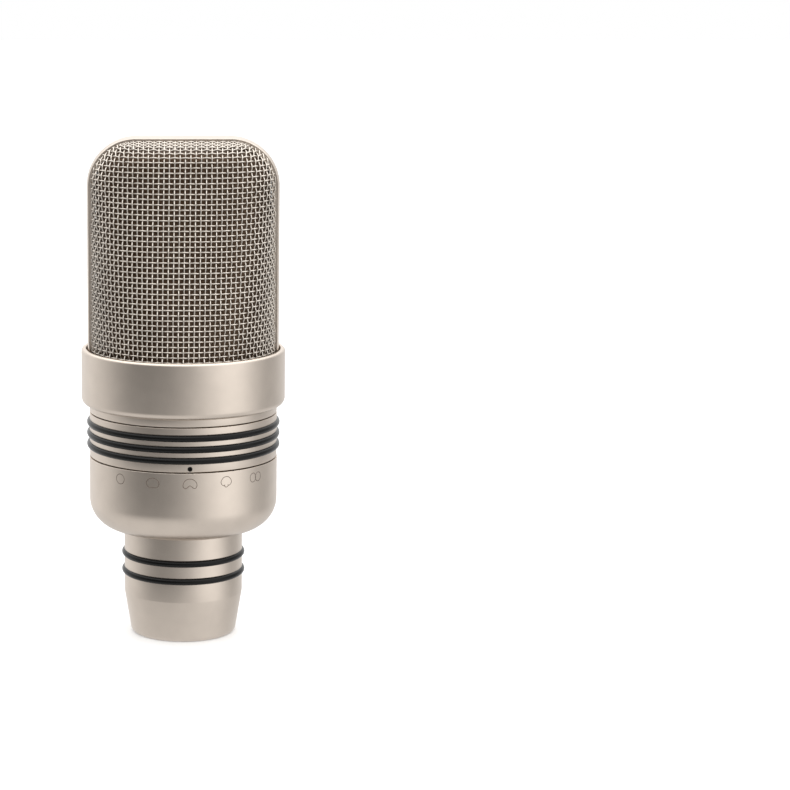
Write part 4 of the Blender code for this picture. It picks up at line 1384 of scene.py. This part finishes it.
@dataclass
class Studio:
    """Floor, light and camera."""

    aim_height: float = 61.7 * MM
    distance: float = 677.9 * MM
    pitch: float = math.radians(10.5)
    lens: float = 120.76
    shift: float = 0.268
    sensor: float = 36.0
    near: float = 0.01
    floor_size: float = 6.0
    overhead: float = 2.1
    below: float = 0.85
    high_band: Span = (0.25, 0.75)
    low_band: Span = (-0.21, -0.57)
    scale: float = 1.5
    glows: tuple[Glow, ...] = (
        Glow(-180, 1.15),
        Glow(-140, 1.04),
        Glow(-112, 0.97),
        Glow(-86, 0.58),
        Glow(-62, 0.17),
        Glow(-34, 0.165),
        Glow(-8, 0.23),
        Glow(22, 0.756),
        Glow(44, 1.41),
        Glow(66, 1.45),
        Glow(86, 0.756),
        Glow(104, 0.378),
        Glow(122, 0.567),
        Glow(148, 0.93),
        Glow(180, 1.15),
    )

    def build(self) -> None:
        """Make the floor, the light and the camera."""
        self._floor()
        self._world()
        self._camera()

    def _floor(self) -> None:
        """Make the plain pale floor."""
        bm = bmesh.new()
        bmesh.ops.create_grid(bm, x_segments=1, y_segments=1, size=self.floor_size / 2)
        floor = finish_piece("floor", bm, FLOOR.build())
        floor.visible_glossy = False

    def _world(self) -> None:
        """Make the soft light that falls from all round, brighter overhead."""
        world = bpy.data.worlds.new("studio")
        bpy.context.scene.world = world
        world.use_nodes = True
        world.node_tree.nodes.clear()
        graph = Graph(world.node_tree)
        place = graph.add("TexCoord", {}).outputs["Generated"]
        split = graph.add("SeparateXYZ", {0: place}).outputs
        back = graph.add("Math", {0: split["Y"], 1: -1.0}, operation="MULTIPLY").outputs[0]
        heading = graph.add("Math", {0: split["X"], 1: back}, operation="ARCTAN2").outputs[0]
        ramp = graph.add("ValToRGB", {"Fac": graph.stretch(heading, (-math.pi, math.pi))})
        elements = ramp.color_ramp.elements
        ramp.color_ramp.interpolation = "B_SPLINE"
        elements.remove(elements[1])
        for index, glow in enumerate(self.glows):
            position = (glow.angle + HALF_TURN) / (2 * HALF_TURN)
            stop = elements[0] if index == 0 else elements.new(position)
            stop.position = position
            stop.color = self._grey(glow.level)
        colour = ramp.outputs["Color"]
        for band, level in ((self.high_band, self.overhead), (self.low_band, self.below)):
            share = graph.stretch(split["Z"], band, kind="SMOOTHSTEP")
            inputs = {"A": colour, "B": self._grey(level), "Factor": share}
            colour = graph.add("Mix", inputs, data_type="RGBA").outputs["Result"]
        light = graph.add("Background", {"Color": colour, "Strength": self.scale}).outputs[0]
        backdrop = graph.add("Background", {"Color": (1.0, 1.0, 1.0, 1.0)}).outputs[0]
        seen = graph.add("LightPath", {}).outputs["Is Camera Ray"]
        choice = graph.add("MixShader", {0: seen, 1: light, 2: backdrop}).outputs[0]
        graph.add("OutputWorld", {0: choice})

    def _grey(self, level: float) -> tuple[float, float, float, float]:
        """Return the grey of a brightness, before the scale is applied."""
        share = level / self.scale
        return (share, share, share, 1.0)

    def _camera(self) -> None:
        """Make the camera."""
        data = bpy.data.cameras.new("camera")
        data.lens = self.lens
        data.sensor_width = self.sensor
        data.shift_x = self.shift
        data.clip_start = self.near
        camera = placed("camera", data)
        away = Vector((0.0, -math.cos(self.pitch), math.sin(self.pitch)))
        camera.location = Vector((0.0, 0.0, self.aim_height)) + away * self.distance
        camera.rotation_euler = (math.pi / 2 - self.pitch, 0.0, 0.0)
        bpy.context.scene.camera = camera


def main() -> None:
    """Build the microphone's looks and its studio."""
    logging.basicConfig(level=logging.INFO, format="%(message)s")
    bpy.context.scene.view_settings.view_transform = "Standard"
    finishes = Finishes()
    finishes.dress_nodes()
    for assembly in (Tail(), Connector(), LowerBody(), Selector(), Neck(), Collar(), HeadFrame()):
        assembly.build(finishes)
    for side in Side:
        Gauze(side).build(finishes)
        Grille(side).build(finishes)
    Studio().build()


if __name__ == "__main__":
    main()
